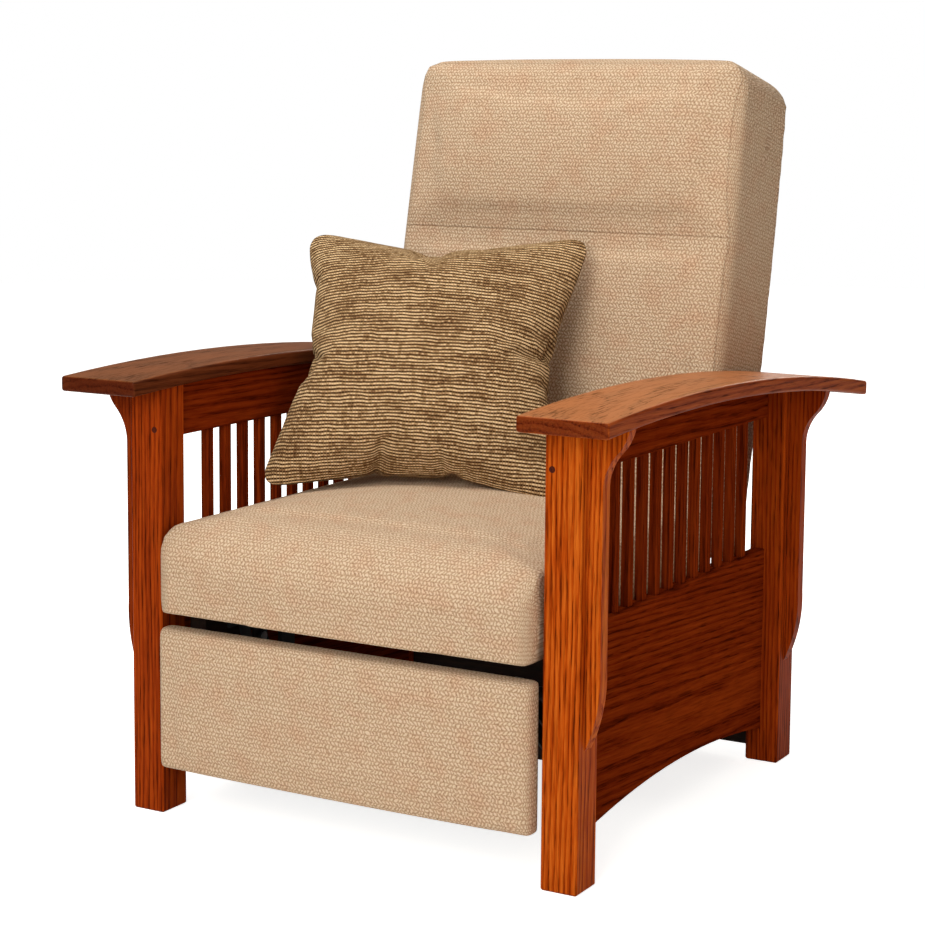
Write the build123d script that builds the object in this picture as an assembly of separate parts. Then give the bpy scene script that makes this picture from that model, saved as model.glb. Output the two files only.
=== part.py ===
from build123d import *
import math
import os

os.makedirs("parts", exist_ok=True)

# A push-back recliner with a bowed-arm oak frame, a reclining upholstered back and a footrest
# that swings out on crossed links. Millimetres, +X to the sitter's left, -Y to the front, +Z up.
# The origin is on the floor, under the middle of the footprint.

# Oak frame
leg_width = 51.0
leg_depth = 54.0
frame_width = 690.0
frame_depth = 714.0
edge_ease = 2.0
fine_edge_ease = 1.5
arm_width = 124.5
arm_thickness = 21.0
arm_front_overhang = 65.0
arm_rear_overhang = 109.0
arm_inner_overhang = 7.0
arm_peak_height = 615.5
arm_peak_setback = 189.0
arm_bow_radius = 3950.0
arm_edge_round = 4.0
leg_tenon_size = 26.0
leg_tenon_height = 12.0
joint_clearance = 0.15
overrun = 10.0

# Side panel, upper rail and slats
panel_thickness = 19.0
panel_inset = 28.0
panel_top = 324.0
arch_end_height = 50.0
arch_mid_height = 77.0
rail_depth_at_peak = 73.5
tenon_thickness = 10.0
tenon_length = 16.0
tenon_shoulder = 12.0
slat_count = 12
slat_width = 14.5
slat_thickness = 12.0
slat_end_gap = 63.5
slat_housing = 9.0
slat_edge_ease = 1.0

# Corbels
corbel_thickness = 19.0
corbel_reach = 20.0
corbel_flare = 55.0
corbel_length = 409.0
corbel_tip_rise = 106.0
corbel_flare_drop = 78.0
corbel_turn_reach = 37.0
corbel_turn_drop = 36.0
toe_bulge_shares = (0.7, 0.38)
hollow_shares = (0.1, 0.62)
belly_shares = (0.53, 0.55)

# Cross rails and the cleats that carry the mechanism
cross_rail_thickness = 22.0
front_rail_setback = 250.0
front_rail_bottom = 82.0
front_rail_height = 58.0
rear_rail_inset = 46.0
rear_rail_bottom = 20.0
rear_rail_height = 180.0
cleat_thickness = 26.0
cleat_height = 54.0
cleat_bottom = 224.0
cleat_front_setback = 70.0
cleat_rear_setback = 545.0
screw_head_height = 1.1
screw_spread = 38.0

# Steel plates, links and rivets
steel = 4.0
link_gap = 1.5
pin_radius = 4.0
pin_play = 0.05
open_pin_play = 0.4
head_radius = 7.0
head_height = 1.2
collar_play = 0.1
base_plate_height = 40.0
base_plate_bottom = 236.0
swing_length = 100.0
swing_radius = 13.0
swing_top_height = 262.0
front_swing_setback = 252.0
rear_swing_setback = 480.0
seat_lug_radius = 16.0
seat_band_height = 44.0
plate_flange_width = 22.0
plate_front_setback = 106.0
plate_rear_setback = 508.0

# Footrest links: the board turns about a point near the front edge of the seat
front_pivot_setback = 130.0
front_pivot_height = 262.0
turn_point_setback = -17.0
turn_point_height = 389.0
board_pivot_setback = 28.0
board_pivot_height = 250.0
link_tail_share = 0.35
bracket_pivot_spacing = 45.0
link_radius = 10.0
cross_tube_radius = 11.0
cross_tube_wall = 1.5
cross_tube_drop = 60.0

# Footrest board and pad
footrest_side_clearance = 6.0
footrest_bottom = 69.0
footrest_top = 268.0
footrest_front = 28.0
footrest_back_setback = 12.0
footrest_crown = 5.0
footrest_round = 12.0
board_thickness = 14.0
board_margin = 16.0
pad_clearance = 0.3
bracket_flange = 26.0

# Seat frame and seat cushion
seat_side_clearance = 4.0
seat_front = 28.0
seat_rear_setback = 525.0
seat_bottom = 286.0
seat_side_height = 118.0
seat_crown_rise = 36.0
seat_draw_in = 4.0
seat_face_height = 32.0
seat_waterfall_depth = 74.0
seat_corner_round = 22.0
seat_brow_drop = 17.6
waterfall_mid_share = 0.24
seat_rail_thickness = 22.0
seat_rail_height = 60.0
seat_rail_lift = 2.0
seat_rail_inset = 18.0
seat_rail_front = 5.0
seat_rail_rear_setback = 512.0
deck_thickness = 3.0
spring_wire_radius = 1.9
spring_count = 5
spring_pitch = 92.0
spring_wave_count = 13
spring_wave_width = 60.0
spring_height_drop = 6.0

# Back, in its own upright frame with the hinge as origin
back_hinge_setback = 560.0
back_hinge_height = 300.0
back_rake = 12.1
back_side_clearance = 4.0
back_bottom = 20.0
back_top = 757.0
back_front_low = 38.0
back_front_high = 82.0
back_rear = 108.0
back_seam_height = 484.0
back_top_round = 46.0
back_edge_round = 20.0
back_corner_round = 32.0
back_crown = 12.0
back_side_draw = 5.0
stile_width = 22.0
stile_depth = 38.0
back_frame_bottom = 34.0
back_frame_top = 690.0
back_rail_height = 44.0
outer_board_thickness = 4.0
back_band_height = 50.0
back_band_count = 5
back_band_thickness = 2.0
back_bracket_radius = 14.0
back_bracket_rise = 220.0

# Throw pillow
pillow_size = 428.0
pillow_thickness = 118.0
pillow_edge = 7.0
pillow_draw_in = 15.0
pillow_side_draw = 24.0
pillow_yaw = 17.0
pillow_lean = 35.5
pillow_arm_gap = 9.3
pillow_back_gap = 23.7
pillow_corner_drop = 7.9
pillow_slice_shares = (0, 0.4, 0.75, 0.95)

# Places worked out from the sizes above
arm_length = arm_front_overhang + frame_depth + arm_rear_overhang
front_y = -arm_length / 2 + arm_front_overhang
half_frame = frame_width / 2
leg_inner_x = half_frame - leg_width
arm_inner_x = leg_inner_x - arm_inner_overhang
bow_y = front_y + arm_peak_setback
bow_z = arm_peak_height - arm_bow_radius
panel_outer_x = half_frame - panel_inset
panel_inner_x = panel_outer_x - panel_thickness
panel_front_y = front_y + leg_depth
panel_rear_y = front_y + frame_depth - leg_depth
rail_bottom = arm_peak_height - arm_thickness - rail_depth_at_peak
slat_room = panel_rear_y - panel_front_y - 2 * slat_end_gap
slat_pitch = (slat_room - slat_width) / (slat_count - 1)
rear_rail_setback = frame_depth - rear_rail_inset
base_plate_x = panel_inner_x - cleat_thickness
swing_x = base_plate_x - steel - link_gap
seat_plate_x = swing_x - steel - link_gap
inner_link_x = seat_plate_x - steel - link_gap
outer_link_x = inner_link_x - steel - link_gap
bracket_x = outer_link_x - steel - link_gap
footrest_half_width = leg_inner_x - footrest_side_clearance
seat_half_width = leg_inner_x - seat_side_clearance
back_half_width = arm_inner_x - back_side_clearance
seat_side_top = seat_bottom + seat_side_height
seat_crown_height = seat_side_top + seat_crown_rise
seat_rail_bottom = seat_bottom + seat_rail_lift
seat_rail_outer = seat_half_width - seat_rail_inset


def block(x0, x1, y0, y1, z0, z1):
    """A rectangular block between two corners."""
    size = Box(abs(x1 - x0), abs(y1 - y0), abs(z1 - z0))
    return Pos((x0 + x1) / 2, (y0 + y1) / 2, (z0 + z1) / 2) * size


def side_sheet(wires, x0, x1):
    """A profile drawn in Y and Z, as thick as the span from x0 to x1."""
    face = make_face(wires)
    return extrude(face, amount=abs(x1 - x0), dir=(1, 0, 0)).moved(Location((min(x0, x1), 0, 0)))


def yz(y, z):
    return (0, y, z)


def rod(x0, x1, y, z, radius):
    """A round bar along X."""
    bar = Cylinder(radius, abs(x1 - x0), rotation=(0, 90, 0))
    return Pos((x0 + x1) / 2, y, z) * bar


def bar_link(a, b, radius, x_outer):
    """A flat steel link with round ends, its outer face at x_outer."""
    (ya, za), (yb, zb) = a, b
    length = math.hypot(yb - ya, zb - za)
    turn = math.degrees(math.atan2(zb - za, yb - ya))
    middle = Box(steel, length, 2 * radius)
    middle = Pos(x_outer - steel / 2, (ya + yb) / 2, (za + zb) / 2) * Rot(turn, 0, 0) * middle
    ends = [rod(x_outer - steel, x_outer, y, z, radius) for y, z in (a, b)]
    return middle + ends


def drill(piece, points, radius, x0, x1):
    for y, z in points:
        piece = piece - rod(x0, x1, y, z, radius)
    return piece


def mirrored(piece):
    return mirror(piece, about=Plane.YZ)


def both(piece):
    """The piece and its mirror image, as one group of separate solids."""
    solids = list(piece.solids()) + list(mirrored(piece).solids())
    return Compound(solids)


def pivot_pin(point, x_fixed, x_moving, fixed_end_head):
    """A shouldered rivet: head, shaft, collar in the gap between the plates, and head."""
    y, z = point
    outer = max(x_fixed, x_moving)
    inner = min(x_fixed, x_moving) - steel
    pin = rod(inner, outer, y, z, pin_radius)
    gap_outer = outer - steel - collar_play
    gap_inner = inner + steel + collar_play
    pin = pin + rod(gap_inner, gap_outer, y, z, head_radius)
    moving_outside = x_moving > x_fixed
    if moving_outside or fixed_end_head:
        pin = pin + rod(outer, outer + head_height, y, z, head_radius)
    if not moving_outside or fixed_end_head:
        pin = pin + rod(inner - head_height, inner, y, z, head_radius)
    return pin


def save(name, piece):
    export_step(piece, f"parts/{name}.step")


def save_pair(name, piece):
    """The piece is modelled on the +X side, which is the sitter's left."""
    save(name + "_left", piece)
    save(name + "_right", mirrored(piece))


# The arm's bow: both faces are arcs about one axis
def bow_height(y, radius):
    return bow_z + math.sqrt(radius ** 2 - (y - bow_y) ** 2)


def bow_edge(radius, y0, y1):
    ym = (y0 + y1) / 2
    ends = [yz(y, bow_height(y, radius)) for y in (y0, ym, y1)]
    return ThreePointArc(*ends)


def below_arm(x0, x1):
    """Everything under the arm's lower face, for cutting the pieces that meet it."""
    under = arm_bow_radius - arm_thickness
    y0 = -arm_length / 2
    y1 = arm_length / 2
    top = bow_edge(under, y0, y1)
    rest = Polyline(top @ 1, yz(y1, 0), yz(y0, 0), top @ 0)
    return side_sheet([top, rest], x0, x1)


def leg_tenon(y0, grow):
    size = leg_tenon_size / 2 + grow
    x_mid = leg_inner_x + leg_width / 2
    y_mid = y0 + leg_depth / 2
    low = bow_height(y_mid, arm_bow_radius - arm_thickness)
    top = low + leg_tenon_height + grow
    return block(x_mid - size, x_mid + size, y_mid - size, y_mid + size, low - leg_tenon_height, top)


def make_arm():
    y0 = -arm_length / 2
    y1 = arm_length / 2
    top = bow_edge(arm_bow_radius, y0, y1)
    under = bow_edge(arm_bow_radius - arm_thickness, y0, y1)
    ends = [Line(top @ 0, under @ 0), Line(top @ 1, under @ 1)]
    arm = side_sheet([top, under] + ends, arm_inner_x, arm_inner_x + arm_width)
    arm = fillet(arm.edges(), arm_edge_round)
    for y in (front_y, panel_rear_y):
        arm = arm - leg_tenon(y, joint_clearance)
    return arm


def panel_tenons(z0, z1, grow):
    """The stub tenons at both ends of a side panel or an upper rail."""
    x_mid = panel_outer_x - panel_thickness / 2
    half = tenon_thickness / 2 + grow
    reach = tenon_length + grow
    low = z0 + tenon_shoulder - grow
    high = z1 - tenon_shoulder + grow
    front = block(x_mid - half, x_mid + half, panel_front_y - reach, panel_front_y, low, high)
    rear = block(x_mid - half, x_mid + half, panel_rear_y, panel_rear_y + reach, low, high)
    return front + rear


def rail_tenon_top():
    """The rail's tenons stop below the lower of its two ends."""
    return bow_height(panel_rear_y, arm_bow_radius - arm_thickness)


def slat_blocks(grow):
    """The row of slats, housed in the panel below and in the rail above."""
    x_mid = panel_outer_x - panel_thickness / 2
    half = slat_thickness / 2 + grow
    blocks = []
    for i in range(slat_count):
        y0 = panel_front_y + slat_end_gap + i * slat_pitch
        y1 = y0 + slat_width
        low = panel_top - slat_housing - grow
        high = rail_bottom + slat_housing + grow
        blocks.append(block(x_mid - half, x_mid + half, y0 - grow, y1 + grow, low, high))
    return blocks


def make_leg(y0):
    leg = block(leg_inner_x, half_frame, y0, y0 + leg_depth, 0, arm_peak_height)
    leg = chamfer(leg.edges().filter_by(Axis.Z), edge_ease)
    leg = chamfer(leg.faces().sort_by(Axis.Z)[0].edges(), edge_ease)
    leg = leg & below_arm(leg_inner_x, half_frame)
    leg = leg + leg_tenon(y0, 0)
    leg = leg - panel_tenons(arch_end_height, panel_top, joint_clearance)
    return leg - panel_tenons(rail_bottom, rail_tenon_top(), joint_clearance)


def make_side_panel():
    panel = block(panel_inner_x, panel_outer_x, panel_front_y, panel_rear_y, 0, panel_top)
    span = (panel_rear_y - panel_front_y) / 2
    rise = arch_mid_height - arch_end_height
    radius = (span ** 2 + rise ** 2) / (2 * rise)
    y_mid = (panel_front_y + panel_rear_y) / 2
    panel = panel - block(panel_inner_x, panel_outer_x, panel_front_y, panel_rear_y, 0, arch_end_height)
    panel = panel - rod(panel_inner_x, panel_outer_x, y_mid, arch_mid_height - radius, radius)
    long_edges = [edge for edge in panel.edges() if edge.length > span]
    panel = chamfer(long_edges, fine_edge_ease)
    panel = panel + panel_tenons(arch_end_height, panel_top, 0)
    return panel - slat_blocks(joint_clearance)


def make_upper_rail():
    rail = block(panel_inner_x, panel_outer_x, panel_front_y, panel_rear_y, rail_bottom, arm_peak_height)
    rail = chamfer(rail.faces().sort_by(Axis.Z)[0].edges().filter_by(Axis.Y), fine_edge_ease)
    rail = rail & below_arm(panel_inner_x, panel_outer_x)
    rail = rail + panel_tenons(rail_bottom, rail_tenon_top(), 0)
    return rail - slat_blocks(joint_clearance)


def make_corbel(y0):
    """An ogee bracket on the middle of the leg's outer face, cut to the arm's underside."""
    y_mid = y0 + leg_depth / 2
    top = bow_height(y_mid, arm_bow_radius - arm_thickness)
    tip = top - corbel_length
    x0 = half_frame
    reach = x0 + corbel_reach
    turn = (x0 + corbel_turn_reach, top - corbel_turn_drop)
    flare = top - corbel_flare_drop
    toe_out, toe_rise = toe_bulge_shares
    hollow_in, hollow_rise = hollow_shares
    belly_out, belly_drop = belly_shares
    toe_mid = (x0 + corbel_reach * toe_out, tip + corbel_tip_rise * toe_rise)
    hollow_mid = ((reach + turn[0]) / 2 - corbel_reach * hollow_in, flare + (turn[1] - flare) * hollow_rise)
    belly_mid = (x0 + (corbel_turn_reach + corbel_flare) * belly_out, top - corbel_turn_drop * belly_drop)
    toe = ThreePointArc((x0, tip), toe_mid, (reach, tip + corbel_tip_rise))
    stem = Line(toe @ 1, (reach, flare))
    hollow = ThreePointArc((reach, flare), hollow_mid, turn)
    belly = ThreePointArc(turn, belly_mid, (x0 + corbel_flare, top))
    back = Polyline((x0 + corbel_flare, top), (x0 + corbel_flare, top + arm_thickness),
                    (x0, top + arm_thickness), (x0, tip))
    face = make_face([toe, stem, hollow, belly, back])
    corbel = extrude(face, amount=corbel_thickness, dir=(0, 0, 1))
    corbel = Pos(0, y_mid + corbel_thickness / 2, 0) * Rot(90, 0, 0) * corbel
    return corbel & below_arm(x0, x0 + corbel_flare)


def make_cross_rail(setback, bottom, height, half_length):
    y0 = front_y + setback
    rail = block(-half_length, half_length, y0, y0 + cross_rail_thickness, bottom, bottom + height)
    return chamfer(rail.edges().filter_by(Axis.X), edge_ease)


def make_cleat():
    y0 = front_y + cleat_front_setback
    y1 = front_y + cleat_rear_setback
    top = cleat_bottom + cleat_height
    return block(base_plate_x, panel_inner_x, y0, y1, cleat_bottom, top)


# The four places of the seat's swing links, above and below
swing_tops = [(front_y + v, swing_top_height) for v in (front_swing_setback, rear_swing_setback)]
swing_feet = [(y, z - swing_length) for y, z in swing_tops]


def make_base_plate():
    y0 = front_y + front_swing_setback - cleat_height
    y1 = front_y + rear_swing_setback + cleat_height
    top = base_plate_bottom + base_plate_height
    plate = block(base_plate_x - steel, base_plate_x, y0, y1, base_plate_bottom, top)
    return drill(plate, swing_tops + plate_screw_places(), pin_radius, base_plate_x - steel, base_plate_x)


def plate_screw_places():
    z = base_plate_bottom + base_plate_height / 2
    places = []
    for setback in (front_swing_setback, rear_swing_setback):
        places += [(front_y + setback - screw_spread, z), (front_y + setback + screw_spread, z)]
    return places


def make_plate_screws():
    screws = []
    for y, z in plate_screw_places():
        shank = rod(base_plate_x - steel, base_plate_x, y, z, pin_radius)
        head_x = base_plate_x - steel - screw_head_height
        screws.append(shank + rod(head_x, base_plate_x - steel, y, z, head_radius))
    return Compound(screws)


def make_swing_link(top, foot):
    link = bar_link(top, foot, swing_radius, swing_x)
    return drill(link, [top, foot], pin_radius + pin_play, swing_x - steel, swing_x)


# Footrest link points when the footrest is closed
front_pivot = (front_y + front_pivot_setback, front_pivot_height)
turn_point = (front_y + turn_point_setback, turn_point_height)
board_pivot = (front_y + board_pivot_setback, board_pivot_height)
arm_vector = (board_pivot[0] - turn_point[0], board_pivot[1] - turn_point[1])
arm_reach = math.hypot(*arm_vector)
reach_vector = (turn_point[0] - front_pivot[0], turn_point[1] - front_pivot[1])


def along(point, vector, share):
    return (point[0] + vector[0] * share, point[1] + vector[1] * share)


tail_share = bracket_pivot_spacing / arm_reach
rear_pivot = along(front_pivot, reach_vector, -link_tail_share)
cross_pivot = along(front_pivot, arm_vector, 1)
rear_foot = along(rear_pivot, arm_vector, 1)
front_foot = along(cross_pivot, arm_vector, tail_share)
board_pivot_low = along(board_pivot, arm_vector, tail_share)
tube_centre = along(front_pivot, arm_vector, cross_tube_drop / arm_reach)
back_hinge = (front_y + back_hinge_setback, back_hinge_height)


def make_front_footrest_link():
    link = bar_link(front_pivot, front_foot, link_radius, inner_link_x)
    x0, x1 = inner_link_x - steel, inner_link_x
    link = drill(link, [front_pivot], pin_radius + pin_play, x0, x1)
    return drill(link, [cross_pivot, front_foot], pin_radius, x0, x1)


def make_rear_footrest_link():
    link = bar_link(rear_pivot, rear_foot, link_radius, inner_link_x)
    x0, x1 = inner_link_x - steel, inner_link_x
    link = drill(link, [rear_pivot], pin_radius + pin_play, x0, x1)
    return drill(link, [rear_foot], pin_radius, x0, x1)


def make_long_footrest_link():
    link = bar_link(rear_foot, board_pivot, link_radius, outer_link_x)
    x0, x1 = outer_link_x - steel, outer_link_x
    link = drill(link, [cross_pivot, board_pivot], pin_radius + pin_play, x0, x1)
    return drill(link, [rear_foot], pin_radius + open_pin_play, x0, x1)


def make_short_footrest_link():
    link = bar_link(front_foot, board_pivot_low, link_radius, outer_link_x)
    x0, x1 = outer_link_x - steel, outer_link_x
    link = drill(link, [front_foot], pin_radius + pin_play, x0, x1)
    return drill(link, [board_pivot_low], pin_radius + open_pin_play, x0, x1)


def make_cross_tube():
    y, z = tube_centre
    half = inner_link_x - steel
    tube = rod(-half, half, y, z, cross_tube_radius)
    return tube - rod(-half, half, y, z, cross_tube_radius - cross_tube_wall)


def make_footrest_bracket():
    """A steel angle: an ear for the two pivots and a flange screwed to the back of the board."""
    x0, x1 = bracket_x - steel, bracket_x
    face_y = front_y + footrest_back_setback
    ear = bar_link(board_pivot, board_pivot_low, link_radius, bracket_x)
    low = board_pivot_low[1] - link_radius
    high = board_pivot[1] + link_radius
    ear = ear + block(x0, x1, face_y, board_pivot[0], low, high)
    flange = block(x1 - bracket_flange, x1, face_y, face_y + steel, low, high)
    return drill(ear + flange, [board_pivot, board_pivot_low], pin_radius, x0, x1)


def crowned_block(front_wires, side_wires, plan_wires, spans):
    """A soft form: what three outlines, seen from the front, the side and above, have in common."""
    x_span, y_low, y_high, z_high = spans
    depth = y_high - y_low + 2 * overrun
    front = extrude(make_face(front_wires), amount=depth, dir=(0, 0, 1))
    front = Pos(0, y_high + overrun, 0) * Rot(90, 0, 0) * front
    side = side_sheet(side_wires, -x_span - overrun, x_span + overrun)
    plan = extrude(make_face(plan_wires), amount=z_high + overrun, dir=(0, 0, 1))
    return front & side & plan


def rounded_plan(half, y_front, y_corner, y_rear, corner):
    """A plan outline: a bowed front with round corners, and sides that run out past the form."""
    inset = half - corner
    bend = corner * (1 - math.sqrt(0.5))
    wide = half + overrun
    front = ThreePointArc((-inset, y_corner), (0, y_front), (inset, y_corner))
    right = ThreePointArc((inset, y_corner), (half - bend, y_corner + bend), (half, y_corner + corner))
    left = ThreePointArc((-half, y_corner + corner), (-half + bend, y_corner + bend), (-inset, y_corner))
    far = y_rear + overrun
    flare = y_corner + corner + 2 * overrun
    rest = Polyline((half, y_corner + corner), (wide, flare), (wide, far), (-wide, far), (-wide, flare),
                    (-half, y_corner + corner))
    return [front, right, rest, left]


def make_footrest_board():
    half = footrest_half_width - board_margin
    y1 = front_y + footrest_back_setback
    low = footrest_bottom + board_margin
    return block(-half, half, y1 - board_thickness, y1, low, footrest_top - board_margin)


def make_footrest_pad():
    half = footrest_half_width
    y0 = front_y - footrest_front
    y1 = front_y + footrest_back_setback
    crown = y0 + footrest_crown
    front_arc = ThreePointArc((-half, crown, 0), (0, y0, 0), (half, crown, 0))
    rest = Polyline((half, crown, 0), (half, y1, 0), (-half, y1, 0), (-half, crown, 0))
    outline = Pos(0, 0, footrest_bottom) * make_face([front_arc, rest])
    pad = extrude(outline, amount=footrest_top - footrest_bottom, dir=(0, 0, 1))
    pad = fillet(pad.faces().sort_by(Axis.Y)[0].edges(), footrest_round)
    grow = pad_clearance
    low = footrest_bottom + board_margin - grow
    pocket = block(-half + board_margin - grow, half - board_margin + grow, y1 - board_thickness - grow,
                   y1, low, footrest_top - board_margin + grow)
    return pad - pocket


def make_seat_plate():
    """The steel side plate of the seat, with lugs for the swing links, the footrest and the back."""
    x0, x1 = seat_plate_x - steel, seat_plate_x
    y0 = front_y + plate_front_setback
    y1 = front_y + plate_rear_setback
    top = seat_rail_bottom
    low = top - seat_band_height
    plate = block(x0, x1, y0, y1, low, top)
    band_mid = (low + top) / 2
    for y, z in swing_feet + [rear_pivot]:
        plate = plate + bar_link((y, z), (y, band_mid), seat_lug_radius, x1)
    arm_root = (y1 - seat_lug_radius, band_mid)
    arm_end = (back_hinge[0], band_mid)
    plate = plate + bar_link(arm_root, arm_end, seat_lug_radius, x1)
    plate = plate + bar_link(arm_end, back_hinge, seat_lug_radius, x1)
    plate = plate + block(x1 - plate_flange_width, x1, y0, y1, top - steel, top)
    holes = swing_feet + [front_pivot, rear_pivot, back_hinge]
    return drill(plate, holes, pin_radius, x0, x1)


def make_seat_pins():
    pins = [pivot_pin(foot, seat_plate_x, swing_x, True) for foot in swing_feet]
    for point in (front_pivot, rear_pivot, back_hinge):
        pins.append(pivot_pin(point, seat_plate_x, inner_link_x, True))
    return Compound(pins)


def seat_rail_top():
    return seat_rail_bottom + seat_rail_height


def make_seat_side_rail():
    y0 = front_y - seat_rail_front + seat_rail_thickness
    y1 = front_y + seat_rail_rear_setback - seat_rail_thickness
    inner = seat_rail_outer - seat_rail_thickness
    return block(inner, seat_rail_outer, y0, y1, seat_rail_bottom, seat_rail_top())


def make_seat_cross_rail(y0):
    half = seat_rail_outer
    return block(-half, half, y0, y0 + seat_rail_thickness, seat_rail_bottom, seat_rail_top())


def make_seat_deck():
    y0 = front_y - seat_rail_front
    y1 = front_y + seat_rail_rear_setback
    half = seat_rail_outer
    return block(-half, half, y0, y1, seat_rail_top(), seat_rail_top() + deck_thickness)


def make_seat_spring(x_mid):
    """A zig-zag spring: straight cross wires joined by half turns, between the cross rails."""
    y0 = front_y - seat_rail_front + seat_rail_thickness + spring_wire_radius
    y1 = front_y + seat_rail_rear_setback - seat_rail_thickness - spring_wire_radius
    z = seat_rail_top() - spring_height_drop
    step = (y1 - y0) / spring_wave_count
    turn = step / 2
    half = spring_wave_width / 2 - turn
    edges = []
    y = y0
    side = 1
    for i in range(spring_wave_count):
        x = x_mid + side * half
        edges.append(Line((x_mid - side * half, y, z), (x, y, z)))
        edges.append(ThreePointArc((x, y, z), (x + side * turn, y + turn, z), (x, y + step, z)))
        y = y + step
        side = -side
    edges.append(Line((x_mid - side * half, y, z), (x_mid + side * half, y, z)))
    path = Wire(edges)
    section = Plane(origin=path @ 0, z_dir=path % 0) * Circle(spring_wire_radius)
    return sweep(section, path=path)


def make_seat_cushion():
    half = seat_half_width
    y0 = front_y - seat_front
    y1 = front_y + seat_rear_setback
    low = seat_bottom
    waist = half - seat_draw_in
    shoulder = (seat_bottom + seat_side_top) / 2
    left = ThreePointArc((-waist, low), (-half, shoulder), (-waist, seat_side_top))
    right = ThreePointArc((waist, low), (half, shoulder), (waist, seat_side_top))
    crown = ThreePointArc((-waist, seat_side_top), (0, seat_crown_height), (waist, seat_side_top))
    front_wires = [left, crown, right, Line((waist, low), (-waist, low))]
    fall_top = seat_crown_height - seat_brow_drop
    fall_low = seat_bottom + seat_face_height
    fall_mid = (fall_low + fall_top) / 2 + seat_brow_drop
    fall_mid_y = y0 + seat_waterfall_depth * waterfall_mid_share
    fall = ThreePointArc(yz(y0, fall_low), yz(fall_mid_y, fall_mid),
                         yz(y0 + seat_waterfall_depth, fall_top))
    top = ThreePointArc(fall @ 1, yz((y0 + y1) / 2, seat_crown_height), yz(y1, fall_top))
    side_rest = Polyline(yz(y1, fall_top), yz(y1, low), yz(y0, low), yz(y0, fall_low))
    plan = rounded_plan(half, y0, y0 + seat_draw_in, y1, seat_corner_round)
    spans = (half, y0, y1, seat_crown_height)
    cushion = crowned_block(front_wires, [fall, top, side_rest], plan, spans)
    grow = pad_clearance
    pocket = block(-seat_rail_outer - grow, seat_rail_outer + grow, front_y - seat_rail_front - grow,
                   front_y + seat_rail_rear_setback + grow, low, seat_rail_top() + deck_thickness + grow)
    return cushion - pocket


# The back is drawn upright about its hinge and then tipped to its rake
def tipped(piece):
    return Pos(0, back_hinge[0], back_hinge[1]) * Rot(-back_rake, 0, 0) * piece


def frame_rear():
    return back_rear - outer_board_thickness


def frame_front():
    return frame_rear() - stile_depth


def make_back_stile():
    x1 = inner_link_x - steel
    stile = block(x1 - stile_width, x1, frame_front(), frame_rear(), back_frame_bottom, back_frame_top)
    return tipped(stile)


def make_back_rail(z0):
    half = inner_link_x - steel - stile_width
    return tipped(block(-half, half, frame_front(), frame_rear(), z0, z0 + back_rail_height))


def make_back_bands():
    """Elastic bands stretched across the front of the stiles."""
    half = inner_link_x - steel
    low = back_frame_bottom + back_rail_height
    room = back_frame_top - back_rail_height - low
    gap = (room - back_band_count * back_band_height) / (back_band_count + 1)
    bands = []
    for i in range(back_band_count):
        z0 = low + gap + i * (gap + back_band_height)
        bands.append(tipped(block(-half, half, frame_front() - back_band_thickness, frame_front(), z0,
                                  z0 + back_band_height)))
    return Compound(bands)


def make_outer_board():
    half = back_half_width - back_edge_round
    top = back_top - back_top_round
    return tipped(block(-half, half, frame_rear(), back_rear, back_bottom + edge_ease, top))


def make_back_bracket():
    x1 = inner_link_x
    elbow = (frame_front() + stile_depth / 2, 0)
    plate = bar_link((0, 0), elbow, back_bracket_radius, x1)
    plate = plate + bar_link(elbow, (elbow[0], back_bracket_rise), back_bracket_radius, x1)
    return tipped(drill(plate, [(0, 0)], pin_radius + pin_play, x1 - steel, x1))


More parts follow.
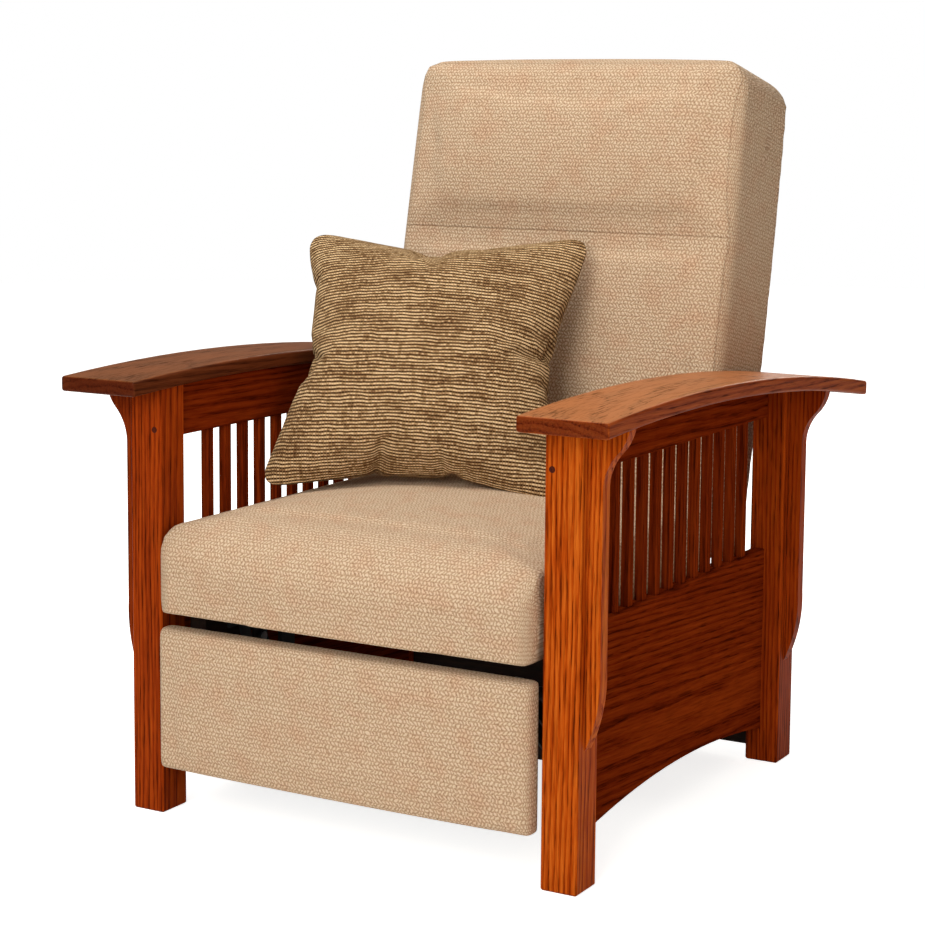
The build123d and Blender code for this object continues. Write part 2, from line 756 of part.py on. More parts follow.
def make_back_cushion():
    half = back_half_width
    waist = half - back_side_draw
    mid = (back_bottom + back_top) / 2
    corner = back_top - back_top_round
    left = ThreePointArc((-waist, back_bottom), (-half, mid), (-waist, corner))
    right = ThreePointArc((waist, back_bottom), (half, mid), (waist, corner))
    inset = waist - back_top_round
    bend = back_top_round * (1 - math.sqrt(0.5))
    top_y = back_top - back_crown / 2
    left_top = ThreePointArc((-waist, corner), (-waist + bend, top_y - bend), (-inset, top_y))
    right_top = ThreePointArc((waist, corner), (waist - bend, top_y - bend), (inset, top_y))
    crown = ThreePointArc((-inset, top_y), (0, back_top), (inset, top_y))
    foot = Line((waist, back_bottom), (-waist, back_bottom))
    front_wires = [left, left_top, crown, right_top, right, foot]
    slope = (back_front_high - back_front_low) / (back_top - back_bottom)
    seam_y = -back_front_low - slope * (back_seam_height - back_bottom)
    low_mid = (back_bottom + back_seam_height) / 2
    low_pad = ThreePointArc(yz(-back_front_low, back_bottom),
                            yz(-back_front_low - slope * (low_mid - back_bottom) - back_crown, low_mid),
                            yz(seam_y, back_seam_height))
    head_mid = (back_seam_height + corner) / 2
    head_pad = ThreePointArc(yz(seam_y, back_seam_height), yz(-back_front_high, head_mid),
                             yz(-back_front_high + back_crown / 2, corner))
    brow = ThreePointArc(head_pad @ 1, yz(-back_front_high + back_crown / 2 + bend, back_top - bend),
                         yz(-back_front_high + back_crown / 2 + back_top_round, back_top))
    nape = ThreePointArc(yz(back_rear - back_top_round, back_top), yz(back_rear - bend, back_top - bend),
                         yz(back_rear, corner))
    rest = [Line(brow @ 1, nape @ 0), Polyline(yz(back_rear, corner), yz(back_rear, back_bottom),
                                               yz(-back_front_low, back_bottom))]
    y0 = -back_front_high - back_crown
    plan = rounded_plan(half, y0, y0 + 2 * back_crown, back_rear, back_corner_round)
    spans = (half, y0, back_rear, back_top)
    side_wires = [low_pad, head_pad, brow, nape] + rest
    cushion = crowned_block(front_wires, side_wires, plan, spans)
    grow = pad_clearance
    reach = inner_link_x + grow
    depth = frame_front() - back_band_thickness - grow
    pocket = block(-reach, reach, depth, back_rear, back_bottom, back_frame_top + grow)
    board_half = half - back_edge_round + grow
    recess = block(-board_half, board_half, frame_rear() - grow, back_rear, back_bottom, corner + grow)
    return tipped(cushion - pocket - recess)


def pillow_section(x):
    """A lens-shaped slice across the pillow, x out from its middle; past its sides it stays thin."""
    share = min(1, abs(x) / (pillow_size / 2 - pillow_side_draw))
    fullness = math.sqrt(1 - share ** 2)
    out = x / (pillow_size / 2)
    half_height = pillow_size / 2 - pillow_draw_in * (1 - out ** 2)
    half_thick = pillow_edge / 2 + (pillow_thickness - pillow_edge) / 2 * fullness
    front = ThreePointArc((x, 0, -half_height), (x, -half_thick, 0), (x, 0, half_height))
    back = ThreePointArc((x, 0, half_height), (x, half_thick, 0), (x, 0, -half_height))
    return make_face([front, back])


def pillow_centre():
    """The pillow stands on the seat cushion, beside an arm, its far top corner near the back."""
    half = pillow_size / 2
    lean = math.radians(pillow_lean)
    yaw = math.radians(pillow_yaw)
    rise = half * math.cos(lean)
    z = seat_crown_height - pillow_corner_drop + rise
    x = (half - pillow_side_draw) * math.cos(yaw) - arm_inner_x + pillow_arm_gap
    corner_back = half * math.sin(yaw) + half * math.sin(lean) * math.cos(yaw)
    hinge_y, hinge_z = back_hinge
    rake = math.radians(back_rake)
    corner_height = z + rise - hinge_z
    face_y = hinge_y + corner_height * math.tan(rake) - back_front_high / math.cos(rake)
    return x, face_y - pillow_back_gap - corner_back, z


def make_pillow():
    half = pillow_size / 2
    full = half - pillow_side_draw
    right = [full * share for share in pillow_slice_shares] + [half + overrun]
    left = [-x for x in reversed(right[1:])]
    pillow = loft([pillow_section(x) for x in left + right])
    far = half + overrun
    wide = full + pillow_side_draw * (far / half) ** 2
    right_side = ThreePointArc((wide, -far), (full, 0), (wide, far))
    left_side = ThreePointArc((-wide, far), (-full, 0), (-wide, -far))
    ends = [Line((wide, far), (-wide, far)), Line((-wide, -far), (wide, -far))]
    outline = extrude(make_face([right_side, left_side] + ends), amount=2 * pillow_thickness, dir=(0, 0, 1))
    pillow = pillow & (Pos(0, pillow_thickness, 0) * Rot(90, 0, 0) * outline)
    return Pos(*pillow_centre()) * Rot(0, 0, pillow_yaw) * Rot(-pillow_lean, 0, 0) * pillow


def export_frame():
    save_pair("arm", make_arm())
    save_pair("front_leg", make_leg(front_y))
    save_pair("rear_leg", make_leg(panel_rear_y))
    save_pair("front_corbel", make_corbel(front_y))
    save_pair("rear_corbel", make_corbel(panel_rear_y))
    save_pair("side_panel", make_side_panel())
    save_pair("upper_rail", make_upper_rail())
    slats = [chamfer(slat.edges().filter_by(Axis.Z), slat_edge_ease) for slat in slat_blocks(0)]
    save_pair("slats", Compound(slats))
    save("front_cross_rail", make_cross_rail(front_rail_setback, front_rail_bottom, front_rail_height,
                                             panel_inner_x))
    save("rear_cross_rail", make_cross_rail(rear_rail_setback, rear_rail_bottom, rear_rail_height,
                                            leg_inner_x))
    save_pair("mechanism_cleat", make_cleat())
    save_pair("base_plate", make_base_plate())
    save("base_plate_screws", both(make_plate_screws()))
    save("base_pivot_pins", both(Compound([pivot_pin(top, base_plate_x, swing_x, False)
                                           for top in swing_tops])))


def export_seat():
    save("front_swing_links", both(make_swing_link(swing_tops[0], swing_feet[0])))
    save("rear_swing_links", both(make_swing_link(swing_tops[1], swing_feet[1])))
    save_pair("seat_plate", make_seat_plate())
    save("seat_pivot_pins", both(make_seat_pins()))
    save_pair("seat_side_rail", make_seat_side_rail())
    save("seat_front_rail", make_seat_cross_rail(front_y - seat_rail_front))
    save("seat_rear_rail", make_seat_cross_rail(front_y + seat_rail_rear_setback - seat_rail_thickness))
    first = -(spring_count - 1) * spring_pitch / 2
    springs = [make_seat_spring(first + i * spring_pitch) for i in range(spring_count)]
    save("seat_springs", Compound(springs))
    save("seat_deck", make_seat_deck())
    save("seat_cushion", make_seat_cushion())


def export_footrest():
    save("front_footrest_links", both(make_front_footrest_link()))
    save("rear_footrest_links", both(make_rear_footrest_link()))
    save("long_footrest_links", both(make_long_footrest_link()))
    save("short_footrest_links", both(make_short_footrest_link()))
    save("footrest_cross_tube", make_cross_tube())
    link_pins = [pivot_pin(p, inner_link_x, outer_link_x, True) for p in (cross_pivot, front_foot)]
    save("front_link_pins", both(Compound(link_pins)))
    save("rear_link_pins", both(pivot_pin(rear_foot, inner_link_x, outer_link_x, True)))
    board_pins = [pivot_pin(p, bracket_x, outer_link_x, True) for p in (board_pivot, board_pivot_low)]
    save("footrest_pivot_pins", both(Compound(board_pins)))
    save_pair("footrest_bracket", make_footrest_bracket())
    save("footrest_board", make_footrest_board())
    save("footrest_pad", make_footrest_pad())


def export_back():
    save_pair("back_bracket", make_back_bracket())
    save_pair("back_stile", make_back_stile())
    save("back_bottom_rail", make_back_rail(back_frame_bottom))
    save("back_top_rail", make_back_rail(back_frame_top - back_rail_height))
    save("back_bands", make_back_bands())
    save("back_outer_board", make_outer_board())
    save("back_cushion", make_back_cushion())
    save("throw_pillow", make_pillow())


export_frame()
export_seat()
export_footrest()
export_back()
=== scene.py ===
import bmesh
import bpy
import math
import numpy as np
from mathutils import Matrix, Vector


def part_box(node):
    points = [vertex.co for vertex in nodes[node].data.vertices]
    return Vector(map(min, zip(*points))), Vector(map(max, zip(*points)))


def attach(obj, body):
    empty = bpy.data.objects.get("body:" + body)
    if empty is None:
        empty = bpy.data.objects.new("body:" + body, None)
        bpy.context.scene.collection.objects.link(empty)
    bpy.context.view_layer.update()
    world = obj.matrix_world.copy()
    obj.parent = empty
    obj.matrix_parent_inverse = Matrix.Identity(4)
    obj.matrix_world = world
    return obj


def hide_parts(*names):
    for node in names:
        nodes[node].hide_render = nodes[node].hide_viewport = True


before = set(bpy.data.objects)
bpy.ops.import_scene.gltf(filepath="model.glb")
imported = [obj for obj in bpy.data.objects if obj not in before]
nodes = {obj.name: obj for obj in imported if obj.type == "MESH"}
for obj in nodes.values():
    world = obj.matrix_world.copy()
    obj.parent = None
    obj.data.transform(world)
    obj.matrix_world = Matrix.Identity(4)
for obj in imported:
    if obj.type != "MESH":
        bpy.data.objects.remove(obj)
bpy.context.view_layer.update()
scene = bpy.context.scene
scene.view_settings.view_transform = "Standard"


# The camera: a long lens at chest height, a third of a turn round to the sitter's left, as in a
# catalogue picture of one chair.
camera_place = (1.54396, -2.76410, 0.97887)
camera_yaw, camera_pitch, camera_roll = 0.5205, 0.1198, 0.0078
ahead = Vector((-math.sin(camera_yaw) * math.cos(camera_pitch),
                math.cos(camera_yaw) * math.cos(camera_pitch), -math.sin(camera_pitch)))
level = Vector((math.cos(camera_yaw), math.sin(camera_yaw), 0))
above = level.cross(ahead)
right_way = math.cos(camera_roll) * level + math.sin(camera_roll) * above
up_way = -math.sin(camera_roll) * level + math.cos(camera_roll) * above
camera_data = bpy.data.cameras.new("camera")
camera_data.sensor_width = 36.0
camera_data.lens = 86.71
camera_data.shift_y = -0.1
camera = bpy.data.objects.new("camera", camera_data)
turn = Matrix((right_way, up_way, -ahead)).transposed()
camera.matrix_world = Matrix.Translation(camera_place) @ turn.to_4x4()
scene.collection.objects.link(camera)
scene.camera = camera


# The studio: a broad white painted floor under the chair. To the camera alone the floor glows with painted
# light, from 0.78 close to the chair up to full white 1.6 m out, which leaves only a faint soft shadow;
# every surface is matt and takes no reflections.
floor_radius = 9.0


def linear(code):
    """Turns an sRGB hex colour into the linear numbers that a shader takes."""
    shares = [int(code[i:i + 2], 16) / 255 for i in (1, 3, 5)]
    return [s / 12.92 if s <= 0.04045 else ((s + 0.055) / 1.055) ** 2.4 for s in shares] + [1.0]


def add(tree, kind, settings, inputs, stops=None):
    """Adds one shader node: its settings, its inputs as values or links, and a ramp's colours."""
    node = tree.nodes.new(kind)
    for name, value in settings.items():
        setattr(node, name, value)
    for name, value in inputs.items():
        if isinstance(value, bpy.types.NodeSocket):
            tree.links.new(value, node.inputs[name])
        else:
            node.inputs[name].default_value = value
    for place, (position, colour) in enumerate(stops or []):
        ramp = node.color_ramp.elements
        stop = ramp[place] if place < len(ramp) else ramp.new(position)
        stop.position = position
        stop.color = colour if len(colour) == 4 else [colour[0]] * 3 + [1.0]
    return node


def start_material(name):
    """An empty material and its node tree."""
    material = bpy.data.materials.new(name)
    material.use_nodes = True
    material.node_tree.nodes.clear()
    return material, material.node_tree


def finish_material(tree, inputs):
    """The surface shader and the output that every material ends in."""
    shader = add(tree, "ShaderNodeBsdfPrincipled", {}, inputs)
    add(tree, "ShaderNodeOutputMaterial", {}, {"Surface": shader.outputs[0]})


def new_object(name, builder):
    """Turns a bmesh into a linked object of that name."""
    mesh = bpy.data.meshes.new(name)
    builder.to_mesh(mesh)
    builder.free()
    made = bpy.data.objects.new(name, mesh)
    scene.collection.objects.link(made)
    return made


floor_mesh = bmesh.new()
bmesh.ops.create_circle(floor_mesh, cap_ends=True, segments=96, radius=floor_radius)
floor = new_object("studio_floor", floor_mesh)
floor_paint, tree = start_material("matt_white_floor_paint")
floor_place = add(tree, "ShaderNodeTexCoord", {}, {})
from_chair = add(tree, "ShaderNodeVectorMath", {"operation": "LENGTH"}, {
    0: floor_place.outputs["Object"]})
# Painted glow: the floor glows for the camera alone, dimmer near the chair and full white farther out.
painted_floor_glow = add(tree, "ShaderNodeMapRange", {"interpolation_type": "SMOOTHSTEP"}, {
    "Value": from_chair.outputs["Value"], "From Min": 0.4, "From Max": 1.6, "To Min": 0.78,
    "To Max": 1.0})
first_sight = add(tree, "ShaderNodeLightPath", {}, {})
painted_floor_glow = add(tree, "ShaderNodeMath", {"operation": "MULTIPLY"}, {
    0: painted_floor_glow.outputs[0], 1: first_sight.outputs["Is Camera Ray"]})
finish_material(tree, {"Base Color": linear("#F6F5F3"), "Roughness": 0.9,
                       "Specular IOR Level": 0.1, "Emission Color": linear("#FFFFFF"),
                       "Emission Strength": painted_floor_glow.outputs[0]})
floor.data.materials.append(floor_paint)

world = bpy.data.worlds.new("studio_walls")
scene.world = world
world.use_nodes = True
world.node_tree.nodes.clear()
seen = add(world.node_tree, "ShaderNodeLightPath", {}, {})
wall_light = add(world.node_tree, "ShaderNodeBackground", {}, {"Color": linear("#FFFDFA"),
                                                              "Strength": 0.17})
wall_seen = add(world.node_tree, "ShaderNodeBackground", {}, {"Color": (1, 1, 1, 1), "Strength": 1.0})
walls = add(world.node_tree, "ShaderNodeMixShader", {}, {
    0: seen.outputs["Is Camera Ray"], 1: wall_light.outputs[0], 2: wall_seen.outputs[0]})
add(world.node_tree, "ShaderNodeOutputWorld", {}, {"Surface": walls.outputs[0]})

for name, place, aim, size, power, tint in (
        ("key_softbox", (0.7, -4.5, 2.1), (0, 0, 0.5), 2.2, 126, "#FFFBF4"),
        ("top_softbox", (-0.2, -0.5, 3.6), (0, 0, 0.5), 2.4, 88, "#FFFDF8"),
        ("side_fill", (4.2, -1.6, 1.7), (0, 0, 0.6), 1.6, 26, "#FFE4C8"),
        ("rear_fill", (-1.0, 4.2, 2.2), (0, 0, 0.5), 2.0, 60, "#FFFDF8")):
    lamp_data = bpy.data.lights.new(name, "AREA")
    lamp_data.size = size
    lamp_data.energy = power
    lamp_data.color = linear(tint)[:3]
    lamp = bpy.data.objects.new(name, lamp_data)
    lamp.location = place
    lamp.rotation_euler = (Vector(aim) - Vector(place)).to_track_quat("-Z", "Y").to_euler()
    scene.collection.objects.link(lamp)


# The four posts: red oak sawn to 51 by 54 mm, stained a red brown and lacquered. Their long grain
# runs up the post, and the open pores hold the stain in dark dashes.
MM = 0.001
OAK_PORE = "#2E0B01"
OAK_END = "#4A1606"    # end grain drinks more of the stain
OAK_PAINTED_SHEEN = "#C08050"  # painted sheen: flat tops drawn paler where they catch the light
OAK_BRIGHT = ("#702204", "#A8430B", "#CE6A1E")
OAK_WARM = ("#5C1B04", "#8C310A", "#A8460F")
OAK_DEEP = ("#491404", "#702408", "#8C360E")
LACQUER_TINT = "#E0905C"    # amber lacquer warms what it reflects
RING_SPACING = 6.0 * MM
PORE_WIDTH = 1.2 * MM   # real pores are 0.3 mm wide; drawn wider so that they show
PORE_STRETCH = 0.05
GRAIN_TURN = {"x": (0, -math.pi / 2, 0), "y": (math.pi / 2, 0, 0), "z": (0, 0, 0)}


def oak(name, grain, heart, shade, tilt=1.0, spacing=RING_SPACING, gloss=0.03, satin=0.10,
        top_sheen=0.0):
    """Stained red oak. grain is the way it grew, heart the line of its rings' middle in metres, spacing the
    width of a year's growth, and the top-sheen argument how far a flat top is drawn paler, a painted
    highlight for the light that tops catch."""
    material, tree = start_material(name)
    place = add(tree, "ShaderNodeTexCoord", {}, {})
    centred = add(tree, "ShaderNodeVectorMath", {"operation": "SUBTRACT"}, {
        0: place.outputs["Object"], 1: heart})
    turned = add(tree, "ShaderNodeMapping", {}, {
        "Vector": centred.outputs[0],
        "Rotation": [a + b for a, b in zip(GRAIN_TURN[grain], (math.radians(tilt), 0, 0))]})
    drawn = add(tree, "ShaderNodeMapping", {}, {"Vector": turned.outputs[0], "Scale": (1, 1, 0.08)})
    waver = add(tree, "ShaderNodeTexNoise", {}, {
        "Vector": drawn.outputs[0], "Scale": 34.0, "Detail": 3.0, "Roughness": 0.55})
    shift = add(tree, "ShaderNodeVectorMath", {"operation": "MULTIPLY_ADD"}, {
        0: waver.outputs["Color"], 1: (0.014, 0.014, 0), 2: turned.outputs[0]})
    rings = add(tree, "ShaderNodeTexWave", {
        "wave_type": "RINGS", "rings_direction": "Z", "wave_profile": "SAW"}, {
        "Vector": shift.outputs[0], "Scale": math.pi / 10 / spacing, "Distortion": 0.0})
    early = add(tree, "ShaderNodeValToRGB", {}, {"Fac": rings.outputs["Fac"]}, [
        (0.0, (0.35,)), (0.10, (1.0,)), (0.30, (0.65,)), (0.62, (0.0,)), (1.0, (0.10,))])
    pore_place = add(tree, "ShaderNodeMapping", {}, {
        "Vector": turned.outputs[0], "Scale": (1, 1, PORE_STRETCH)})
    pores = add(tree, "ShaderNodeTexNoise", {}, {
        "Vector": pore_place.outputs[0], "Scale": 0.5 / PORE_WIDTH, "Detail": 2.0,
        "Roughness": 0.6})
    pore_cut = add(tree, "ShaderNodeMapRange", {"interpolation_type": "SMOOTHSTEP"}, {
        "Value": pores.outputs["Fac"], "From Min": 0.50, "From Max": 0.36})
    in_early = add(tree, "ShaderNodeMath", {"operation": "MULTIPLY_ADD"}, {
        0: early.outputs[0], 1: 0.55, 2: 0.22})
    pore = add(tree, "ShaderNodeMath", {"operation": "MULTIPLY"}, {
        0: pore_cut.outputs[0], 1: in_early.outputs[0]})
    fibres = add(tree, "ShaderNodeTexNoise", {}, {
        "Vector": pore_place.outputs[0], "Scale": 260.0, "Detail": 3.0, "Roughness": 0.7})
    patches = add(tree, "ShaderNodeTexNoise", {}, {
        "Vector": drawn.outputs[0], "Scale": 20.0, "Detail": 2.0})
    body = add(tree, "ShaderNodeMath", {"operation": "MULTIPLY_ADD"}, {
        0: fibres.outputs["Fac"], 1: 0.9, 2: -0.20})
    body = add(tree, "ShaderNodeMath", {"operation": "MULTIPLY_ADD"}, {
        0: patches.outputs["Fac"], 1: 0.55, 2: body.outputs[0]})
    body = add(tree, "ShaderNodeMath", {"operation": "MULTIPLY_ADD"}, {
        0: early.outputs[0], 1: -0.28, 2: body.outputs[0]})
    stain = add(tree, "ShaderNodeValToRGB", {}, {"Fac": body.outputs[0]}, [
        (0.10, linear(shade[0])), (0.38, linear(shade[1])), (0.72, linear(shade[2]))])
    along = add(tree, "ShaderNodeVectorMath", {"operation": "DOT_PRODUCT"}, {
        0: place.outputs["Normal"], 1: [float(axis == grain) for axis in "xyz"]})
    end_on = add(tree, "ShaderNodeMath", {"operation": "ABSOLUTE"}, {0: along.outputs["Value"]})
    end_grain = add(tree, "ShaderNodeMapRange", {"interpolation_type": "SMOOTHSTEP"}, {
        "Value": end_on.outputs[0], "From Min": 0.55, "From Max": 0.95, "To Max": 0.62})
    stained = add(tree, "ShaderNodeMix", {"data_type": "RGBA"}, {
        0: end_grain.outputs[0], 6: stain.outputs[0], 7: linear(OAK_END)})
    # Painted highlight: faces that look up are mixed towards a pale tan, by the top-sheen amount, for the
    # light that flat tops catch.
    facing = add(tree, "ShaderNodeVectorMath", {"operation": "DOT_PRODUCT"}, {
        0: place.outputs["Normal"], 1: (0.0, 0.0, 1.0)})
    top_sheen_mask = add(tree, "ShaderNodeMapRange", {"interpolation_type": "SMOOTHSTEP"}, {
        "Value": facing.outputs["Value"], "From Min": 0.6, "From Max": 0.95, "To Max": top_sheen})
    top_highlighted = add(tree, "ShaderNodeMix", {"data_type": "RGBA"}, {
        0: top_sheen_mask.outputs[0], 6: stained.outputs[2], 7: linear(OAK_PAINTED_SHEEN)})
    colour = add(tree, "ShaderNodeMix", {"data_type": "RGBA"}, {
        0: pore.outputs[0], 6: top_highlighted.outputs[2], 7: linear(OAK_PORE)})
    relief = add(tree, "ShaderNodeBump", {"invert": True}, {
        "Height": pore.outputs[0], "Strength": 0.3, "Distance": 0.25 * MM})
    sheen = add(tree, "ShaderNodeMath", {"operation": "MULTIPLY_ADD"}, {
        0: pore.outputs[0], 1: 0.25, 2: 0.34})
    finish_material(tree, {
        "Base Color": colour.outputs[2], "Roughness": sheen.outputs[0],
        "Specular IOR Level": satin, "Specular Tint": linear(LACQUER_TINT), "Coat Weight": gloss,
        "Coat Roughness": 0.16, "Normal": relief.outputs[0]})
    return material


def finish_node(node, material):
    """Gives a CAD node's own shape its real finish."""
    for slot in nodes[node].material_slots:
        slot.material = material


# The left front post takes the brightest stain and the right one a darker: partly the boards' own tone,
# partly painted light for the fall of the lamps across the chair.
for node, heart, shade in (("front_leg_left", (0.420, -0.30, 0.1), OAK_BRIGHT),
                           ("front_leg_right", (-0.200, -0.31, 0.4), OAK_WARM),
                           ("rear_leg_left", (0.42, 0.24, 0.2), OAK_WARM),
                           ("rear_leg_right", (-0.22, 0.37, 0.3), OAK_WARM)):
    finish_node(node, oak(node + "_lacquered_oak", "z", heart, shade, tilt=0.7, gloss=0.0,
                          satin=0.03))


# A turned oak plug closes the bolt hole near the top of each front post. Its end grain drinks more
# stain than the post, so it dries almost black.
plug_radius = 4.2 * MM
plug_proud = 0.6 * MM
plug_ease = 0.6 * plug_proud
plug_sides = 28
plug_across, plug_height = 0.304, 0.534
plug_oak, tree = start_material("end_grain_oak_plug")
grain_place = add(tree, "ShaderNodeTexCoord", {}, {})
specks = add(tree, "ShaderNodeTexNoise", {}, {
    "Vector": grain_place.outputs["Object"], "Scale": 900.0, "Detail": 2.0})
plug_stain = add(tree, "ShaderNodeValToRGB", {}, {"Fac": specks.outputs["Fac"]}, [
    (0.35, linear("#2A0A03")), (0.7, linear("#5A1D08"))])
finish_material(tree, {"Base Color": plug_stain.outputs[0], "Roughness": 0.55,
                       "Specular IOR Level": 0.1})
for side, name in ((1, "left"), (-1, "right")):
    leg_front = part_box("front_leg_" + name)[0].y
    plug_mesh = bmesh.new()
    bmesh.ops.create_circle(plug_mesh, cap_ends=True, segments=plug_sides, radius=plug_radius)
    risen = bmesh.ops.extrude_face_region(plug_mesh, geom=plug_mesh.faces[:])
    bmesh.ops.translate(plug_mesh, vec=(0, 0, plug_proud),
                        verts=[v for v in risen["geom"] if isinstance(v, bmesh.types.BMVert)])
    rim = [e for e in plug_mesh.edges if all(v.co.z > plug_proud / 2 for v in e.verts)]
    bmesh.ops.bevel(plug_mesh, geom=rim, offset=plug_ease, segments=3, profile=0.5,
                    affect="EDGES", material=-1)
    bmesh.ops.rotate(plug_mesh, matrix=Matrix.Rotation(math.pi / 2, 3, "X"), verts=plug_mesh.verts[:])
    bmesh.ops.translate(plug_mesh, vec=(side * plug_across, leg_front, plug_height),
                        verts=plug_mesh.verts[:])
    bmesh.ops.recalc_face_normals(plug_mesh, faces=plug_mesh.faces[:])
    plug = new_object("post_plug_" + name, plug_mesh)
    plug.data.materials.append(plug_oak)
    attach(plug, "frame")


# Each side is framed from a wide glued-up oak board with an arched foot, twelve thin slats and an
# upper rail, all grooved together. The wide board is plain sawn and shows arched grain.
for side, name in ((1, "left"), (-1, "right")):
    finish_node("side_panel_" + name, oak("plain_sawn_board_" + name, "y", (
        side * 0.240, -0.02, 0.130), OAK_DEEP, tilt=4.0, spacing=8.0 * MM, gloss=0.0, satin=0.0))
    finish_node("slats_" + name, oak("slat_oak_" + name, "z", (
        side * 0.36, 0.02, 0.4), OAK_DEEP, tilt=0.4, spacing=4.5 * MM, gloss=0.0, satin=0.0))
    finish_node("upper_rail_" + name, oak("upper_rail_oak_" + name, "y", (
        side * 0.40, 0, 0.49), OAK_DEEP, tilt=1.2, gloss=0.0, satin=0.0))


# The long corbels under the arms are band-sawn from oak, with the grain up and down, and glued and
# screwed from inside to the middle of each post's outer face.
# The left front corbel takes the brightest stain and the right one the darkest: partly the boards' own
# tone, partly painted light.
for node, heart, shade in (("front_corbel_left", (0.47, -0.32, 0.2), OAK_BRIGHT),
                           ("front_corbel_right", (-0.48, -0.30, 0.3), OAK_DEEP),
                           ("rear_corbel_left", (0.46, 0.33, 0.3), OAK_WARM),
                           ("rear_corbel_right", (-0.47, 0.28, 0.2), OAK_WARM)):
    finish_node(node, oak(node + "_oak", "z", heart, shade, tilt=0.8, gloss=0.0, satin=0.03))


# The bowed arms are steam-bent oak boards with their long edges eased and a satin finish. Their tops are
# drawn paler as a painted highlight, and the left arm takes a brighter stain and a paler top than the
# right: painted light, a lit and a shaded copy of one oak. The grain runs from front to back.
ARM_LIT = ("#5E2208", "#8A3A15", "#A65222")
ARM_SHADED = ("#36150A", "#562712", "#6C361C")
for side, name, shade, top_sheen in ((1, "left", ARM_LIT, 0.6), (-1, "right", ARM_SHADED, 0.25)):
    finish_node("arm_" + name, oak("bent_arm_oak_" + name, "y", (
        side * 0.32, 0, 0.30), shade, tilt=1.5, spacing=9.0 * MM, gloss=0.08, satin=0.02, top_sheen=top_sheen))


# Out of sight, the cross rails, cleats and the upholsterer's frames are sawn from plain hardwood with its
# saw marks left in. The rails and cleats that show in the gaps take a near-black stain: painted shade that
# keeps the gaps dark.
BARE_TONES = ("#8A6640", "#B9915F", "#D2AE7C")
GAP_SHADE_TONES = ("#160A05", "#26130A", "#351C10")


def sawn_wood(name, grain, tones):
    material, tree = start_material(name)
    place = add(tree, "ShaderNodeTexCoord", {}, {})
    turned = add(tree, "ShaderNodeMapping", {}, {
        "Vector": place.outputs["Object"], "Rotation": GRAIN_TURN[grain]})
    drawn = add(tree, "ShaderNodeMapping", {}, {"Vector": turned.outputs[0], "Scale": (1, 1, 0.08)})
    fibres = add(tree, "ShaderNodeTexNoise", {}, {
        "Vector": drawn.outputs[0], "Scale": 220.0, "Detail": 4.0, "Roughness": 0.65})
    saw = add(tree, "ShaderNodeTexWave", {"bands_direction": "Z"}, {
        "Vector": turned.outputs[0], "Scale": math.pi / 10 / (3.0 * MM), "Distortion": 1.2,
        "Detail": 1.0, "Detail Scale": 0.6})
    colour = add(tree, "ShaderNodeValToRGB", {}, {"Fac": fibres.outputs["Fac"]}, [
        (0.25, linear(tones[0])), (0.5, linear(tones[1])), (0.8, linear(tones[2]))])
    relief = add(tree, "ShaderNodeBump", {}, {
        "Height": saw.outputs["Fac"], "Strength": 0.25, "Distance": 0.2 * MM})
    finish_material(tree, {"Base Color": colour.outputs[0], "Roughness": 0.72,
                           "Specular IOR Level": 0.3, "Normal": relief.outputs[0]})
    return material


bare_across, bare_along, bare_up = [
    sawn_wood("sawn_hardwood_" + way, way, BARE_TONES) for way in "xyz"]
# Near-black painted shade for the rails and cleats seen through the gaps.
gap_shade_across, gap_shade_along = [sawn_wood("gap_shade_hardwood_" + way, way, GAP_SHADE_TONES) for way in "xy"]
for finish, names in (
        (bare_across, ("seat_rear_rail", "back_bottom_rail", "back_top_rail")),
        (bare_along, ("seat_side_rail_left", "seat_side_rail_right")),
        (bare_up, ("back_stile_left", "back_stile_right")),
        (gap_shade_across, ("front_cross_rail", "rear_cross_rail", "footrest_board")),
        (gap_shade_along, ("mechanism_cleat_left", "mechanism_cleat_right"))):
    for node in names:
        finish_node(node, finish)


# The recliner mechanism: 4 mm steel plates and links, pressed, painted satin black and joined by bright
# rivets that are headed over washers. Oil dulls the paint in smeared patches.
def steel(name, low, high, roughness, metallic):
    material, tree = start_material(name)
    place = add(tree, "ShaderNodeTexCoord", {}, {})
    smear = add(tree, "ShaderNodeTexNoise", {}, {
        "Vector": place.outputs["Object"], "Scale": 60.0, "Detail": 3.0})
    grit = add(tree, "ShaderNodeTexNoise", {}, {
        "Vector": place.outputs["Object"], "Scale": 1400.0, "Detail": 1.0})
    colour = add(tree, "ShaderNodeValToRGB", {}, {"Fac": smear.outputs["Fac"]}, [
        (0.3, linear(low)), (0.75, linear(high))])
    rough = add(tree, "ShaderNodeMath", {"operation": "MULTIPLY_ADD"}, {
        0: smear.outputs["Fac"], 1: 0.22, 2: roughness})
    relief = add(tree, "ShaderNodeBump", {}, {
        "Height": grit.outputs["Fac"], "Strength": 0.2, "Distance": 0.05 * MM})
    finish_material(tree, {"Base Color": colour.outputs[0], "Roughness": rough.outputs[0],
                           "Metallic": metallic, "Normal": relief.outputs[0]})
    return material


painted_steel = steel("satin_black_painted_steel", "#141416", "#232326", 0.32, 0.0)
rivet_steel = steel("zinc_plated_rivet_steel", "#8F9296", "#B9BCC0", 0.22, 1.0)
spring_steel = steel("oiled_spring_steel", "#4A4B4E", "#6F7074", 0.25, 1.0)
for node in ("base_plate_left", "base_plate_right", "front_swing_links", "rear_swing_links",
             "seat_plate_left", "seat_plate_right", "front_footrest_links", "rear_footrest_links",
             "long_footrest_links", "short_footrest_links", "footrest_cross_tube",
             "footrest_bracket_left", "footrest_bracket_right", "back_bracket_left",
             "back_bracket_right"):
    finish_node(node, painted_steel)
for node in ("base_plate_screws", "base_pivot_pins", "seat_pivot_pins", "front_link_pins",
             "rear_link_pins", "footrest_pivot_pins"):
    finish_node(node, rivet_steel)
